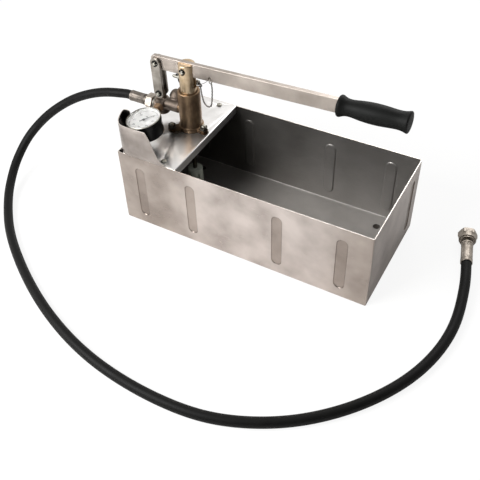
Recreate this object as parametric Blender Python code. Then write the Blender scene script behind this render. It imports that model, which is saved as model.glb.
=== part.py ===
"""Hand-lever hydrostatic test pump: a pressed steel water tank, a plunger pump with its valves and
gauge on a mirror-bright deck, a lever linkage, and a long rubber hose that lies round the tank.

Metres, +Z up. The origin is the middle of the tank's underside, +X runs from the pump to the grip
end of the lever, and the pump stands near the -X end.
"""
import math

import bmesh
import bpy
import numpy as np
from mathutils import Matrix, Vector

# Fits that the whole pump shares
GAP = 0.0003
PIN_CLEARANCE = 0.0004
OVERRUN = 0.004
FEW = 8
COARSE = 12
ROUND = 16
FINE = 22
SMOOTH_ANGLE = math.radians(35)
UPRIGHT_SHARE = 0.001
BEND_ROUNDNESS_SHARE = 0.5
CHAMBER_EDGE_SHARE = 0.85
CASE_EDGE_SHARE = 0.94
HOUSING_EDGE_SHARE = 0.6

# Tank of bent and pressed stainless sheet
TANK_LENGTH = 0.485
TANK_WIDTH = 0.220
TANK_HEIGHT = 0.156
SHEET = 0.0015
TANK_BEND = 0.004
BEND_STEPS = 2
RIB_WIDTH = 0.018
RIB_HEADROOM = 0.025
RIB_DEPTH = 0.003
RIB_FOOT = 0.021
SIDE_RIB_SHARES = (-0.412, -0.192, 0.157, 0.396)
END_RIB_SHARES = (0.341,)
DIMPLE_RADIUS = 0.008
DIMPLE_DEPTH = 0.0005
DIMPLE_INSET_X = 0.0535
DIMPLE_INSET_Y = 0.032
TAB_LENGTH = 0.016
TAB_REACH = 0.0155

# Deck that closes the pump end of the tank
DECK_LENGTH = 0.1202
DECK_THICKNESS = 0.002
DECK_SINK = 0.0015
DECK_LIP = 0.014
DECK_BEND = 0.003
DECK_SCREW_INSET_Y = 0.012
DECK_SCREW_INSET_X = 0.023
DECK_SCREW_SPACING = 0.0665
SCREW_SHANK_RADIUS = 0.002
SCREW_HEAD_RADIUS = 0.0043
SCREW_HEAD_HEIGHT = 0.0026
SCREW_REACH = 0.007

# Gauge guard, a bent sheet on the deck's front left corner
GUARD_INSET = 0.0025
GUARD_CLEARANCE = 0.00264
GUARD_SIDE_CLEARANCE = 0.00566
GUARD_CORNER = 0.025
GUARD_CORNER_STEPS = 6
GUARD_HEIGHT = 0.0575
GUARD_TOE = 0.004
GUARD_FRONT_LENGTH = 0.094
GUARD_FRONT_SHOULDER = 0.0615
GUARD_SIDE_SHOULDER = 0.0415
GUARD_SIDE_LENGTH = 0.0775

# Pump cylinder
PUMP_INSET = 0.0815
PUMP_Y = 0.012
BARREL_RADIUS = 0.0205
BORE_RADIUS = 0.01575
BORE_FLOOR_RISE = 0.0105
RIM_RISE = 0.0805
RIM_ROUND = 0.002
RIM_CHAMFER = 0.001
GLAND_RISE = 0.068
GLAND_HEIGHT = 0.005
GLAND_DEPTH = 0.0022
GASKET_THICKNESS = 0.001
FLANGE_THICKNESS = 0.007
FLANGE_HUB_RADIUS = 0.0225
BOLT_CIRCLE = 0.031
LUG_RADIUS = 0.0075
LUG_ANGLES = tuple(math.radians(degrees) for degrees in (-128.0, -8.0, 112.0))
BOLT_RADIUS = 0.004
BOLT_STICK_OUT = 0.003
NUT_FLATS = 0.013
NUT_HEIGHT = 0.0065
BOLT_HEAD_HEIGHT = 0.0053
SPIGOT_RADIUS = 0.012
SPIGOT_LENGTH = 0.009
PORT_RADIUS = 0.0035
DELIVERY_RISE = 0.0325
DELIVERY_BORE = 0.004
NECK_RADIUS = 0.0085
BOSS_REACH = 0.025

# Suction valve, pipe and strainer under the deck
SUCTION_FLANGE = 0.005
SUCTION_BODY_RADIUS = 0.0165
SUCTION_BODY_DROP = 0.0402
SUCTION_CHAMBER_RADIUS = 0.0065
SUCTION_CHAMBER_HEIGHT = 0.0165
SUCTION_BALL_RADIUS = 0.00475
SUCTION_SEAT_RADIUS = 0.0035
PIPE_RADIUS = 0.004
PIPE_WALL = 0.001
PIPE_SOCKET = 0.008
PIPE_FOOT = 0.020
STRAINER_RADIUS = 0.0145
STRAINER_WALL = 0.0016
STRAINER_FOOT = 0.012
STRAINER_HEIGHT = 0.050
STRAINER_SLOT_WIDTH = 0.003
STRAINER_SLOT_MARGIN = 0.008
STRAINER_SLOT_PAIRS = 3

# Valve body with its chamber, neck, tower, lug and bosses
CHAMBER_REACH = 0.060
CHAMBER_RADIUS = 0.013
CHAMBER_FOOT_RISE = 0.0175
CHAMBER_TOP_RISE = 0.0475
CHAMBER_WALL = 0.0055
CHAMBER_BORE = 0.007
TOWER_REACH = 0.036
TOWER_SIDE = 0.013
TOWER_RADIUS = 0.0105
TOWER_FOOT_RISE = 0.0215
TOWER_TOP_RISE = 0.0495
TOWER_BORE = 0.007
TOWER_BORE_RISE = 0.028
CROSS_DRILL_RISE = 0.042
CROSS_DRILL_RADIUS = 0.002
OUTLET_RISE = 0.0315
OUTLET_BOSS_RADIUS = 0.011
OUTLET_BOSS_REACH = 0.015
OUTLET_BORE = 0.005
GAUGE_STEM_RISE = 0.0395
GAUGE_BOSS_RADIUS = 0.0078
GAUGE_BOSS_REACH = 0.020
LUG_PLATE_THICKNESS = 0.008
LUG_PLATE_RADIUS = 0.012
SEAT_RISE = 0.0365
SEAT_HEIGHT = 0.003
SEAT_HOLE = 0.0028
SEAT_CONE = 0.0055
DELIVERY_BALL_RADIUS = 0.004
CAP_FLANGE_HEIGHT = 0.003
CAP_DOME_HEIGHT = 0.0098
CAP_PLUG_LENGTH = 0.003
CAP_HOLLOW = 0.0048

# Pressure gauge
GAUGE_AZIMUTH = math.radians(104)
GAUGE_TILT = math.radians(10)
GAUGE_DEPTH = 0.030
GAUGE_STEM_DEPTH = 0.019
BEZEL_OVERHANG = 0.002
BEZEL_WALL = 0.0014
BEZEL_SKIRT = 0.010
BEZEL_LIP = 0.0012
BEZEL_COVER = 0.0022
CASE_RADIUS = 0.032
CASE_WALL = 0.0015
CASE_LEDGE = 0.002
LENS_THICKNESS = 0.0014
DIAL_THICKNESS = 0.0006
DIAL_SINK = 0.0046
POINTER_LIFT = 0.0008
POINTER_THICKNESS = 0.0008
POINTER_SHORTFALL = 0.0083
POINTER_TAIL = 0.008
POINTER_WIDTH = 0.0022
POINTER_HUB_RADIUS = 0.0032
SPINDLE_RADIUS = 0.0009
SPINDLE_LENGTH = 0.0018
POINTER_AZIMUTH = math.radians(50)
STEM_RADIUS = 0.0068
STEM_HEX_FLATS = 0.017
STEM_HEX_LENGTH = 0.011
STEM_INSIDE = 0.012
STEM_SPIGOT_RADIUS = 0.0048

# Hose fittings at the pump end
ADAPTER_HEX_FLATS = 0.022
ADAPTER_HEX_LENGTH = 0.0064
ADAPTER_NIPPLE_RADIUS = 0.0083
ADAPTER_NIPPLE_LENGTH = 0.0135
FITTING_BORE = 0.004
HOSE_NUT_FLATS = 0.027
HOSE_NUT_LENGTH = 0.020
HOSE_NUT_BORE = 0.0088
FERRULE_RADIUS = 0.01025
FERRULE_LENGTH = 0.035
FERRULE_NECK_RADIUS = 0.0072
FERRULE_NECK_LENGTH = 0.0055
CRIMP_DEPTH = 0.0006
CRIMP_COUNT = 2
FERRULE_SIDES_COUNT = 14

# Hose and the fitting at its free end
HOSE_RADIUS = 0.00875
HOSE_POINTS_COUNT = 48
HOSE_BEVEL_STEPS = 2
HOSE_STUB = 0.010
HOSE_END_REACH = 0.6591
HOSE_END_Y = 0.052
FAR_NUT_LENGTH = 0.022
FAR_NUT_BORE = 0.0098
FAR_NUT_LIP = 0.0045
NOSE_NECK_RADIUS = 0.0066
NOSE_FLANGE_RADIUS = 0.0092
NOSE_FLANGE_LENGTH = 0.003
NOSE_TIP_RADIUS = 0.006
NOSE_LENGTH = 0.006

# Piston rod
ROD_RADIUS = 0.015
ROD_FOOT_RISE = 0.0135
ROD_TOP_RISE = 0.135
ROD_CHAMFER = 0.001
SLOT_FLOOR_RISE = 0.0887
ROD_PIN_RISE = 0.1245

# Lever
LEVER_THICKNESS = 0.008
LEVER_HEIGHT = 0.0255
LEVER_SLOPE = math.radians(1.8)
LEVER_TAIL = 0.0715
LEVER_TRAVEL = math.radians(45)
LEVER_SHOULDER = 0.2785
TANG_HEIGHT = 0.016
TANG_LENGTH = 0.095
PIN_SPACING = 0.061
PIN_RADIUS = 0.003
SIDE_CLEARANCE = 0.0003
CHAIN_HOLE_REACH = 0.048
CHAIN_HOLE_DROP = 0.0072
CHAIN_HOLE_RADIUS = 0.0025

# Link plates and clips
LINK_WIDTH = 0.016
LINK_THICKNESS = 0.005
LINK_FOOT_RISE = 0.061
CLIP_RADIUS = 0.006
CLIP_THICKNESS = 0.0009
CLIP_OPENING = math.radians(70)
GROOVE_DEPTH = 0.0007

# Grip
GRIP_FLARE_RADIUS = 0.0178
GRIP_LENGTH = 0.123
GRIP_STATION_SHARES = (0.0, 0.03, 0.055, 0.10, 0.22, 0.40, 0.58, 0.76, 0.88, 0.94, 0.965, 0.99, 1.0)
GRIP_RADIUS_SHARES = (0.90, 1.0, 0.96, 0.79, 0.86, 0.93, 0.91, 0.83, 0.79, 0.93, 1.0, 0.90, 0.62)

# Lock pin, its spring bow and the chain
LOCK_PIN_RADIUS = 0.003
LOCK_PIN_SIDE = 0.009
LOCK_PIN_RISE = 0.095
LOCK_PIN_TAIL = 0.038
LOCK_PIN_REACH = 0.020
LOCK_HEAD_RADIUS = 0.0045
LOCK_HEAD_LENGTH = 0.004
LOCK_HOLE_CLEARANCE = 0.0004
BOW_WIRE_RADIUS = 0.00115
BOW_RADIUS = 0.025
BOW_DROP = 0.0125
BOW_STEPS = 12
BOW_START = math.radians(25)
BOW_HOOK_STEPS = 4
BOW_HOOK_SWEEP = math.radians(120)
PIN_RING_RADIUS = 0.0042
PIN_RING_WIRE = 0.0006
CHAIN_WIRE_RADIUS = 0.00055
CHAIN_PITCH = 0.0056
CHAIN_LINK_WIDTH = 0.0034
CHAIN_SIDES = 4
CHAIN_BITE = 0.0003
CHAIN_RING_RADIUS = 0.0068
CHAIN_RING_WIRE = 0.0008

# Sizes that follow from the ones above
INNER_LENGTH = TANK_LENGTH - 2 * SHEET
INNER_WIDTH = TANK_WIDTH - 2 * SHEET
DECK_FOOT = TANK_HEIGHT - DECK_SINK
DECK_TOP = DECK_FOOT + DECK_THICKNESS
DECK_LEFT = GAP - INNER_LENGTH / 2
DECK_RIGHT = DECK_LEFT + DECK_LENGTH
DECK_SCREW_LEFT = DECK_SCREW_INSET_X - INNER_LENGTH / 2
DECK_SCREW_RIGHT = DECK_SCREW_LEFT + DECK_SCREW_SPACING
RIB_LENGTH = TANK_HEIGHT - RIB_FOOT - RIB_HEADROOM
GUARD_FRONT = GUARD_INSET - TANK_WIDTH / 2
BEZEL_RADIUS = CASE_RADIUS + BEZEL_OVERHANG
BEZEL_SIGHT_RADIUS = CASE_RADIUS - BEZEL_COVER
POINTER_LENGTH = BEZEL_SIGHT_RADIUS - POINTER_SHORTFALL
PUMP_X = PUMP_INSET - TANK_LENGTH / 2
CHAMBER_X = PUMP_X - CHAMBER_REACH
TOWER_X = PUMP_X - TOWER_REACH
TOWER_Y = PUMP_Y + TOWER_SIDE
LOCK_PIN_Y = PUMP_Y + LOCK_PIN_SIDE
LOCK_PIN_LEFT = PUMP_X - LOCK_PIN_TAIL
LOCK_PIN_RIGHT = PUMP_X + LOCK_PIN_REACH
BORE_FLOOR = DECK_TOP + BORE_FLOOR_RISE
RIM_HEIGHT = DECK_TOP + RIM_RISE
GLAND_FOOT = DECK_TOP + GLAND_RISE
DELIVERY_Z = DECK_TOP + DELIVERY_RISE
CHAMBER_FOOT = DECK_TOP + CHAMBER_FOOT_RISE
CHAMBER_TOP = DECK_TOP + CHAMBER_TOP_RISE
TOWER_FOOT = DECK_TOP + TOWER_FOOT_RISE
TOWER_TOP = DECK_TOP + TOWER_TOP_RISE
TOWER_BORE_FLOOR = DECK_TOP + TOWER_BORE_RISE
CROSS_DRILL_Z = DECK_TOP + CROSS_DRILL_RISE
OUTLET_Z = DECK_TOP + OUTLET_RISE
GAUGE_STEM_Z = DECK_TOP + GAUGE_STEM_RISE
SEAT_FOOT = DECK_TOP + SEAT_RISE
ROD_FOOT = DECK_TOP + ROD_FOOT_RISE
ROD_TOP = DECK_TOP + ROD_TOP_RISE
SLOT_FLOOR = DECK_TOP + SLOT_FLOOR_RISE
ROD_PIN_Z = DECK_TOP + ROD_PIN_RISE
LINK_FOOT_Z = DECK_TOP + LINK_FOOT_RISE
LOCK_PIN_Z = DECK_TOP + LOCK_PIN_RISE
SCREW_Y = INNER_WIDTH / 2 - DECK_SCREW_INSET_Y
SCREW_PLACES = tuple((x, y) for x in (DECK_SCREW_LEFT, DECK_SCREW_RIGHT) for y in (-SCREW_Y, SCREW_Y))
GASKET_FOOT = DECK_TOP + GAP
CYLINDER_FOOT = GASKET_FOOT + GASKET_THICKNESS + GAP
FLANGE_TOP = CYLINDER_FOOT + FLANGE_THICKNESS
NUT_FOOT = FLANGE_TOP + GAP
NUT_TOP = NUT_FOOT + NUT_HEIGHT
SPIGOT_FOOT = CYLINDER_FOOT - SPIGOT_LENGTH
SUCTION_TOP = DECK_FOOT - GAP
SUCTION_FLANGE_FOOT = SUCTION_TOP - SUCTION_FLANGE
SUCTION_BODY_FOOT = SUCTION_TOP - SUCTION_BODY_DROP
CHAMBER_CEILING = SPIGOT_FOOT - GAP
SUCTION_SEAT_Z = CHAMBER_CEILING - SUCTION_CHAMBER_HEIGHT
PUMP_AXIS = Vector((PUMP_X, PUMP_Y, 0.0))
CHAMBER_AXIS = Vector((CHAMBER_X, PUMP_Y, 0.0))
TOWER_AXIS = Vector((TOWER_X, TOWER_Y, 0.0))
NECK_END = PUMP_X - BOSS_REACH - GAP
ROD_PIN = Vector((PUMP_X, PUMP_Y, ROD_PIN_Z))
LEVER_DIRECTION = Vector((math.cos(LEVER_SLOPE), 0.0, math.sin(LEVER_SLOPE)))
LEVER_NORMAL = Vector((-math.sin(LEVER_SLOPE), 0.0, math.cos(LEVER_SLOPE)))
LINK_TOP = ROD_PIN - LEVER_DIRECTION * PIN_SPACING
LINK_FOOT = Vector((CHAMBER_X, PUMP_Y, LINK_FOOT_Z))
PIN_HOLE = PIN_RADIUS + PIN_CLEARANCE
LINK_OFFSET = LEVER_THICKNESS / 2 + SIDE_CLEARANCE + LINK_THICKNESS / 2
LINK_OUTSIDE = LINK_OFFSET + LINK_THICKNESS / 2
BACK = Vector((0.0, 1.0, 0.0))
UP = Vector((0.0, 0.0, 1.0))
LEFT = Vector((-1.0, 0.0, 0.0))
GAUGE_STEM_WAY = Vector((math.cos(GAUGE_AZIMUTH), math.sin(GAUGE_AZIMUTH), 0.0))
GAUGE_LEAN = Vector((-math.sin(GAUGE_AZIMUTH), math.cos(GAUGE_AZIMUTH), 0.0))
GAUGE_NORMAL = UP * math.cos(GAUGE_TILT) + GAUGE_LEAN * math.sin(GAUGE_TILT)
GAUGE_REACH = (PUMP_Y - GUARD_FRONT - GUARD_CLEARANCE - BEZEL_RADIUS) / math.sin(GAUGE_AZIMUTH)
GAUGE_HEART = CHAMBER_AXIS + UP * GAUGE_STEM_Z - GAUGE_STEM_WAY * GAUGE_REACH
GAUGE_FACE = GAUGE_HEART + GAUGE_NORMAL * GAUGE_STEM_DEPTH
GAUGE_BACK = GAUGE_FACE - GAUGE_NORMAL * GAUGE_DEPTH
GUARD_LEFT = GAUGE_HEART.x - BEZEL_RADIUS - GUARD_SIDE_CLEARANCE
GUARD_FRONT_END = GUARD_LEFT + GUARD_FRONT_LENGTH
ADAPTER_FACE = CHAMBER_X - OUTLET_BOSS_REACH - GAP
HOSE_NUT_FACE = ADAPTER_FACE - ADAPTER_HEX_LENGTH - GAP
FERRULE_FACE = HOSE_NUT_FACE - HOSE_NUT_LENGTH - GAP
HOSE_START = FERRULE_FACE - FERRULE_LENGTH - GAP
TIP_Z = HOSE_NUT_FLATS / math.sqrt(3) + GAP

# The hose's route after the ferrule, chosen by hand: reach along X, Y, and share of the outlet's height
HOSE_LAY = (
    (-0.0313, 0.0085, 0.9920), (-0.0647, 0.0039, 0.9521), (-0.0987, -0.0019, 0.8936),
    (-0.1365, -0.0120, 0.7899), (-0.1787, -0.0310, 0.6303), (-0.2039, -0.0490, 0.4787),
    (-0.2160, -0.0688, 0.3723), (-0.2199, -0.0923, 0.2766), (-0.2165, -0.1180, 0.1968),
    (-0.2063, -0.1464, 0.1330), (-0.1896, -0.1757, 0.0878), (-0.1660, -0.2059, 0.0612),
    (-0.1388, -0.2351, 0.0473), (-0.0440, -0.3093, 0.0473), (0.0425, -0.3641, 0.0473),
    (0.1225, -0.3989, 0.0473), (0.1989, -0.4165, 0.0473), (0.2771, -0.4276, 0.0473),
    (0.3484, -0.4286, 0.0473), (0.4142, -0.4197, 0.0473), (0.4737, -0.3984, 0.0473),
    (0.5275, -0.3668, 0.0473), (0.5756, -0.3255, 0.0473), (0.6177, -0.2747, 0.0473),
    (0.6532, -0.2123, 0.0473), (0.6760, -0.1345, 0.0473), (0.6813, -0.0720, 0.0505),
    (0.6774, -0.0326, 0.0612), (0.6691, 0.0130, 0.0787),
)
HOSE_END = Vector((HOSE_START + HOSE_END_REACH, HOSE_END_Y, TIP_Z))
HOSE_ROUTE = (Vector((HOSE_START, PUMP_Y, OUTLET_Z)),
              *(Vector((HOSE_START + reach, y, share * OUTLET_Z)) for reach, y, share in HOSE_LAY), HOSE_END)
HOSE_END_WAY = (HOSE_END - Vector((*HOSE_ROUTE[-2][:2], TIP_Z))).normalized()

# The chain's ring hangs through the lever, and the chain loops to it from beside the lock pin's head
CHAIN_HOLE = ROD_PIN + LEVER_DIRECTION * CHAIN_HOLE_REACH - LEVER_NORMAL * CHAIN_HOLE_DROP
CHAIN_RING_CENTRE = CHAIN_HOLE - UP * CHAIN_RING_RADIUS
CHAIN_TOP = CHAIN_RING_CENTRE - UP * (CHAIN_RING_RADIUS - CHAIN_RING_WIRE - CHAIN_WIRE_RADIUS - GAP)
CHAIN_LAY = (
    (0.0248, 0.0043, -0.0065), (0.0248, 0.0043, -0.0155), (0.0264, 0.0041, -0.0245),
    (0.0298, 0.0035, -0.0325), (0.0352, 0.0027, -0.0360), (0.0403, 0.0019, -0.0330),
    (0.0434, 0.0010, -0.0245), (0.0453, 0.0004, -0.0145), (0.0470, 0.0001, -0.0035),
)
CHAIN_END = CHAIN_TOP - UP * ((CHAIN_PITCH + CHAIN_BITE) / 2 + CHAIN_WIRE_RADIUS)
CHAIN_ROUTE = (*(PUMP_AXIS + Vector((x, y, LOCK_PIN_Z + z)) for x, y, z in CHAIN_LAY), CHAIN_END)


# Materials

def make_finish(name, colour, roughness, metallic=0.0):
    """Make a Principled material from linear colour, roughness and metallic value."""
    finish = bpy.data.materials.new(name)
    finish.use_nodes = True
    surface = next(node for node in finish.node_tree.nodes if node.type == "BSDF_PRINCIPLED")
    surface.inputs["Base Color"].default_value = (*colour, 1.0)
    surface.inputs["Roughness"].default_value = roughness
    surface.inputs["Metallic"].default_value = metallic
    finish.diffuse_color = (*colour, 1.0)
    return finish


def make_finishes():
    """All finishes of the pump, by name."""
    return {
        "stainless": make_finish("stainless_sheet", (0.46, 0.43, 0.40), 0.32, 1.0),
        "mirror": make_finish("polished_deck", (0.62, 0.60, 0.57), 0.12, 1.0),
        "zinc": make_finish("bright_zinc", (0.66, 0.65, 0.62), 0.22, 1.0),
        "bronze": make_finish("pump_bronze", (0.42, 0.25, 0.13), 0.35, 1.0),
        "brass": make_finish("brass", (0.62, 0.45, 0.20), 0.28, 1.0),
        "steel": make_finish("lever_steel", (0.52, 0.50, 0.47), 0.35, 1.0),
        "black": make_finish("black_plastic", (0.02, 0.02, 0.02), 0.45),
        "spring": make_finish("black_spring_steel", (0.03, 0.03, 0.035), 0.35, 1.0),
        "rubber": make_finish("black_rubber", (0.028, 0.028, 0.03), 0.7),
        "white": make_finish("dial_white", (0.85, 0.85, 0.83), 0.5),
        "glass": make_finish("gauge_glass", (0.9, 0.92, 0.92), 0.05),
        "strainer": make_finish("strainer_plastic", (0.28, 0.33, 0.27), 0.4),
        "seal": make_finish("seal_rubber", (0.02, 0.02, 0.02), 0.6),
    }


# Shapes

def circle(radius, steps, start=0.0, sweep=math.tau, centre=(0.0, 0.0)):
    """Points on an arc; a full turn leaves out the point that would repeat the first."""
    full = math.isclose(sweep, math.tau)
    count = steps if full else steps + 1
    return [(centre[0] + radius * math.cos(start + sweep * index / steps),
             centre[1] + radius * math.sin(start + sweep * index / steps)) for index in range(count)]


def capsule(length, width, steps=4):
    """Outline of a bar with round ends, upright and centred on the origin."""
    straight = length - width
    upper = circle(width / 2, steps, 0.0, math.pi, (0.0, straight / 2))
    lower = circle(width / 2, steps, math.pi, math.pi, (0.0, -straight / 2))
    return upper + lower


def hexagon(flats):
    """Outline of a hexagon from its size across the flats."""
    return circle(flats / math.sqrt(3), 6)


def turned(profile, segments=ROUND):
    """Turn a closed (radius, height) profile about Z into a solid."""
    mesh = bmesh.new()
    rings = []
    for radius, height in profile:
        if radius == 0.0:
            rings.append([mesh.verts.new((0.0, 0.0, height))] * segments)
        else:
            rings.append([mesh.verts.new((x, y, height)) for x, y in circle(radius, segments)])
    for ring, following in zip(rings, rings[1:] + rings[:1]):
        for index in range(segments):
            near = (index + 1) % segments
            corners = (ring[index], ring[near], following[near], following[index])
            corners = list(dict.fromkeys(corners))
            if len(corners) > 2:
                mesh.faces.new(corners)
    bmesh.ops.recalc_face_normals(mesh, faces=mesh.faces[:])
    return mesh


def slab(outline, holes, thickness):
    """Extrude an outline with holes along Z, centred on the origin's plane."""
    mesh = bmesh.new()
    for loop in [outline, *holes]:
        corners = [mesh.verts.new((x, y, -thickness / 2)) for x, y in loop]
        for corner, following in zip(corners, corners[1:] + corners[:1]):
            mesh.edges.new((corner, following))
    bmesh.ops.triangle_fill(mesh, use_beauty=True, edges=mesh.edges[:])
    raised = bmesh.ops.extrude_face_region(mesh, geom=mesh.faces[:])["geom"]
    lifted = [item for item in raised if isinstance(item, bmesh.types.BMVert)]
    bmesh.ops.translate(mesh, vec=(0.0, 0.0, thickness), verts=lifted)
    bmesh.ops.recalc_face_normals(mesh, faces=mesh.faces[:])
    return mesh


def rod(radius, foot, top, segments=ROUND):
    """A plain round bar along Z."""
    return turned([(0.0, foot), (radius, foot), (radius, top), (0.0, top)], segments)


def tube(outer, inner, foot, top, segments=ROUND):
    """A plain tube along Z."""
    return turned([(inner, foot), (outer, foot), (outer, top), (inner, top)], segments)


def eared_outline(hub, lug):
    """Outline of a round flange with three ears on the bolt circle."""
    points = []
    half = math.asin(lug / hub)
    for index, angle in enumerate(LUG_ANGLES):
        centre = (BOLT_CIRCLE * math.cos(angle), BOLT_CIRCLE * math.sin(angle))
        points += circle(lug, 5, angle - math.pi / 2, math.pi, centre)
        following = LUG_ANGLES[(index + 1) % len(LUG_ANGLES)]
        sweep = (following - angle) % math.tau - 2 * half
        points += circle(hub, 4, angle + half, sweep)
    return points


def bolt_holes(radius):
    """Outlines of the three bolt holes in a flange."""
    return [circle(radius, COARSE, centre=(BOLT_CIRCLE * math.cos(angle), BOLT_CIRCLE * math.sin(angle)))
            for angle in LUG_ANGLES]


def wire_loop(mesh, route, plane, radius, sides):
    """Add a closed loop of round wire whose route lies in the plane with the given normal."""
    rings = []
    count = len(route)
    for index, place in enumerate(route):
        along = (route[(index + 1) % count] - route[index - 1]).normalized()
        outward = along.cross(plane)
        rings.append([mesh.verts.new(place + outward * x + plane * y)
                      for x, y in circle(radius, sides, math.pi / sides)])
    for index, ring in enumerate(rings):
        following = rings[(index + 1) % count]
        for side in range(sides):
            near = (side + 1) % sides
            mesh.faces.new((ring[side], ring[near], following[near], following[side]))


# Placing

def frame_at(origin, axis, hint=UP):
    """Matrix whose Z runs along an axis, and whose Y leans toward the hint."""
    z_axis = axis.normalized()
    if z_axis.cross(hint).length < UPRIGHT_SHARE:
        hint = BACK
    x_axis = hint.cross(z_axis).normalized()
    y_axis = z_axis.cross(x_axis)
    turn = Matrix((x_axis, y_axis, z_axis)).transposed()
    return Matrix.Translation(origin) @ turn.to_4x4()


def add_piece(name, mesh, finish, place, rounded=True):
    """Add a mesh as a named object at a place, which is a point or a matrix."""
    shape = bpy.data.meshes.new(name)
    mesh.to_mesh(shape)
    mesh.free()
    piece = bpy.data.objects.new(name, shape)
    bpy.context.scene.collection.objects.link(piece)
    piece.matrix_world = place if isinstance(place, Matrix) else Matrix.Translation(place)
    if finish:
        shape.materials.append(finish)
    if rounded:
        shape.shade_smooth()
        shape.set_sharp_from_angle(angle=SMOOTH_ANGLE)
    return piece


def add_wire(name, routes, radius, finish, cyclic, sides_step):
    """Add round wire along point routes as one curve object with filled ends."""
    curve = bpy.data.curves.new(name, "CURVE")
    curve.dimensions = "3D"
    curve.bevel_depth = radius
    curve.bevel_resolution = sides_step
    curve.use_fill_caps = True
    for route in routes:
        spline = curve.splines.new("POLY")
        spline.points.add(len(route) - 1)
        for point, place in zip(spline.points, route):
            point.co = (*place, 1.0)
        spline.use_cyclic_u = cyclic
        spline.use_smooth = True
    curve.materials.append(finish)
    wire = bpy.data.objects.new(name, curve)
    bpy.context.scene.collection.objects.link(wire)
    return wire


def add_copies(name, mesh, finish, places, parent=None):
    """Add one object for each place, numbered from 1, all with the same mesh."""
    first = add_piece(name + "_1", mesh, finish, places[0])
    copies = [first]
    for number, place in enumerate(places[1:], 2):
        copy = bpy.data.objects.new(name + "_" + str(number), first.data)
        copy.matrix_world = place if isinstance(place, Matrix) else Matrix.Translation(place)
        bpy.context.scene.collection.objects.link(copy)
        copies.append(copy)
    for copy in copies:
        if parent:
            hang(copy, parent)
    return copies


def shape_by(piece, operation, mesh, place, label):
    """Cut a piece with a shape, or join the shape to it, by an exact Boolean."""
    helper = add_piece(piece.name + "_" + label, mesh, None, place, rounded=False)
    helper.hide_render = True
    helper.display_type = "WIRE"
    hang(helper, piece)
    step = piece.modifiers.new(label, "BOOLEAN")
    step.operation = operation
    step.solver = "EXACT"
    step.object = helper
    return piece


def cut(piece, mesh, place, label):
    """Take a shape away from a piece."""
    return shape_by(piece, "DIFFERENCE", mesh, place, label)


def join(piece, mesh, place, label):
    """Fuse a shape to a piece."""
    return shape_by(piece, "UNION", mesh, place, label)


def hang(child, parent):
    """Parent an object and leave it where it stands."""
    bpy.context.view_layer.update()
    child.parent = parent
    child.matrix_parent_inverse = parent.matrix_world.inverted()


def add_pivot(name, place, parent=None):
    """Add an empty on a joint's axis for the pieces that turn or slide with it."""
    pivot = bpy.data.objects.new(name, None)
    pivot.location = place
    bpy.context.scene.collection.objects.link(pivot)
    if parent:
        hang(pivot, parent)
    return pivot


# Tank and deck

def press_ribs(mesh, wall, places):
    """Replace a flat wall by one with recessed upright ribs, centred at the given points."""
    outward = wall.normal.copy()
    sideways = UP.cross(outward)
    borders = list(wall.edges)
    bmesh.ops.delete(mesh, geom=[wall], context="FACES_ONLY")
    rims = []
    for place in places:
        loops = []
        for inset, depth in ((0.0, 0.0), (RIB_DEPTH, RIB_DEPTH)):
            outline = capsule(RIB_LENGTH - 2 * inset, RIB_WIDTH - 2 * inset)
            loops.append([mesh.verts.new(place + sideways * x + UP * y - outward * depth)
                          for x, y in outline])
        mouth, bed = loops
        for index in range(len(mouth)):
            near = (index + 1) % len(mouth)
            slope = mesh.faces.new((mouth[index], mouth[near], bed[near], bed[index]))
            rims.append(next(edge for edge in slope.edges
                             if mouth[index] in edge.verts and mouth[near] in edge.verts))
        mesh.faces.new(bed)
    bmesh.ops.triangle_fill(mesh, use_beauty=True, edges=borders + rims)


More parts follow.
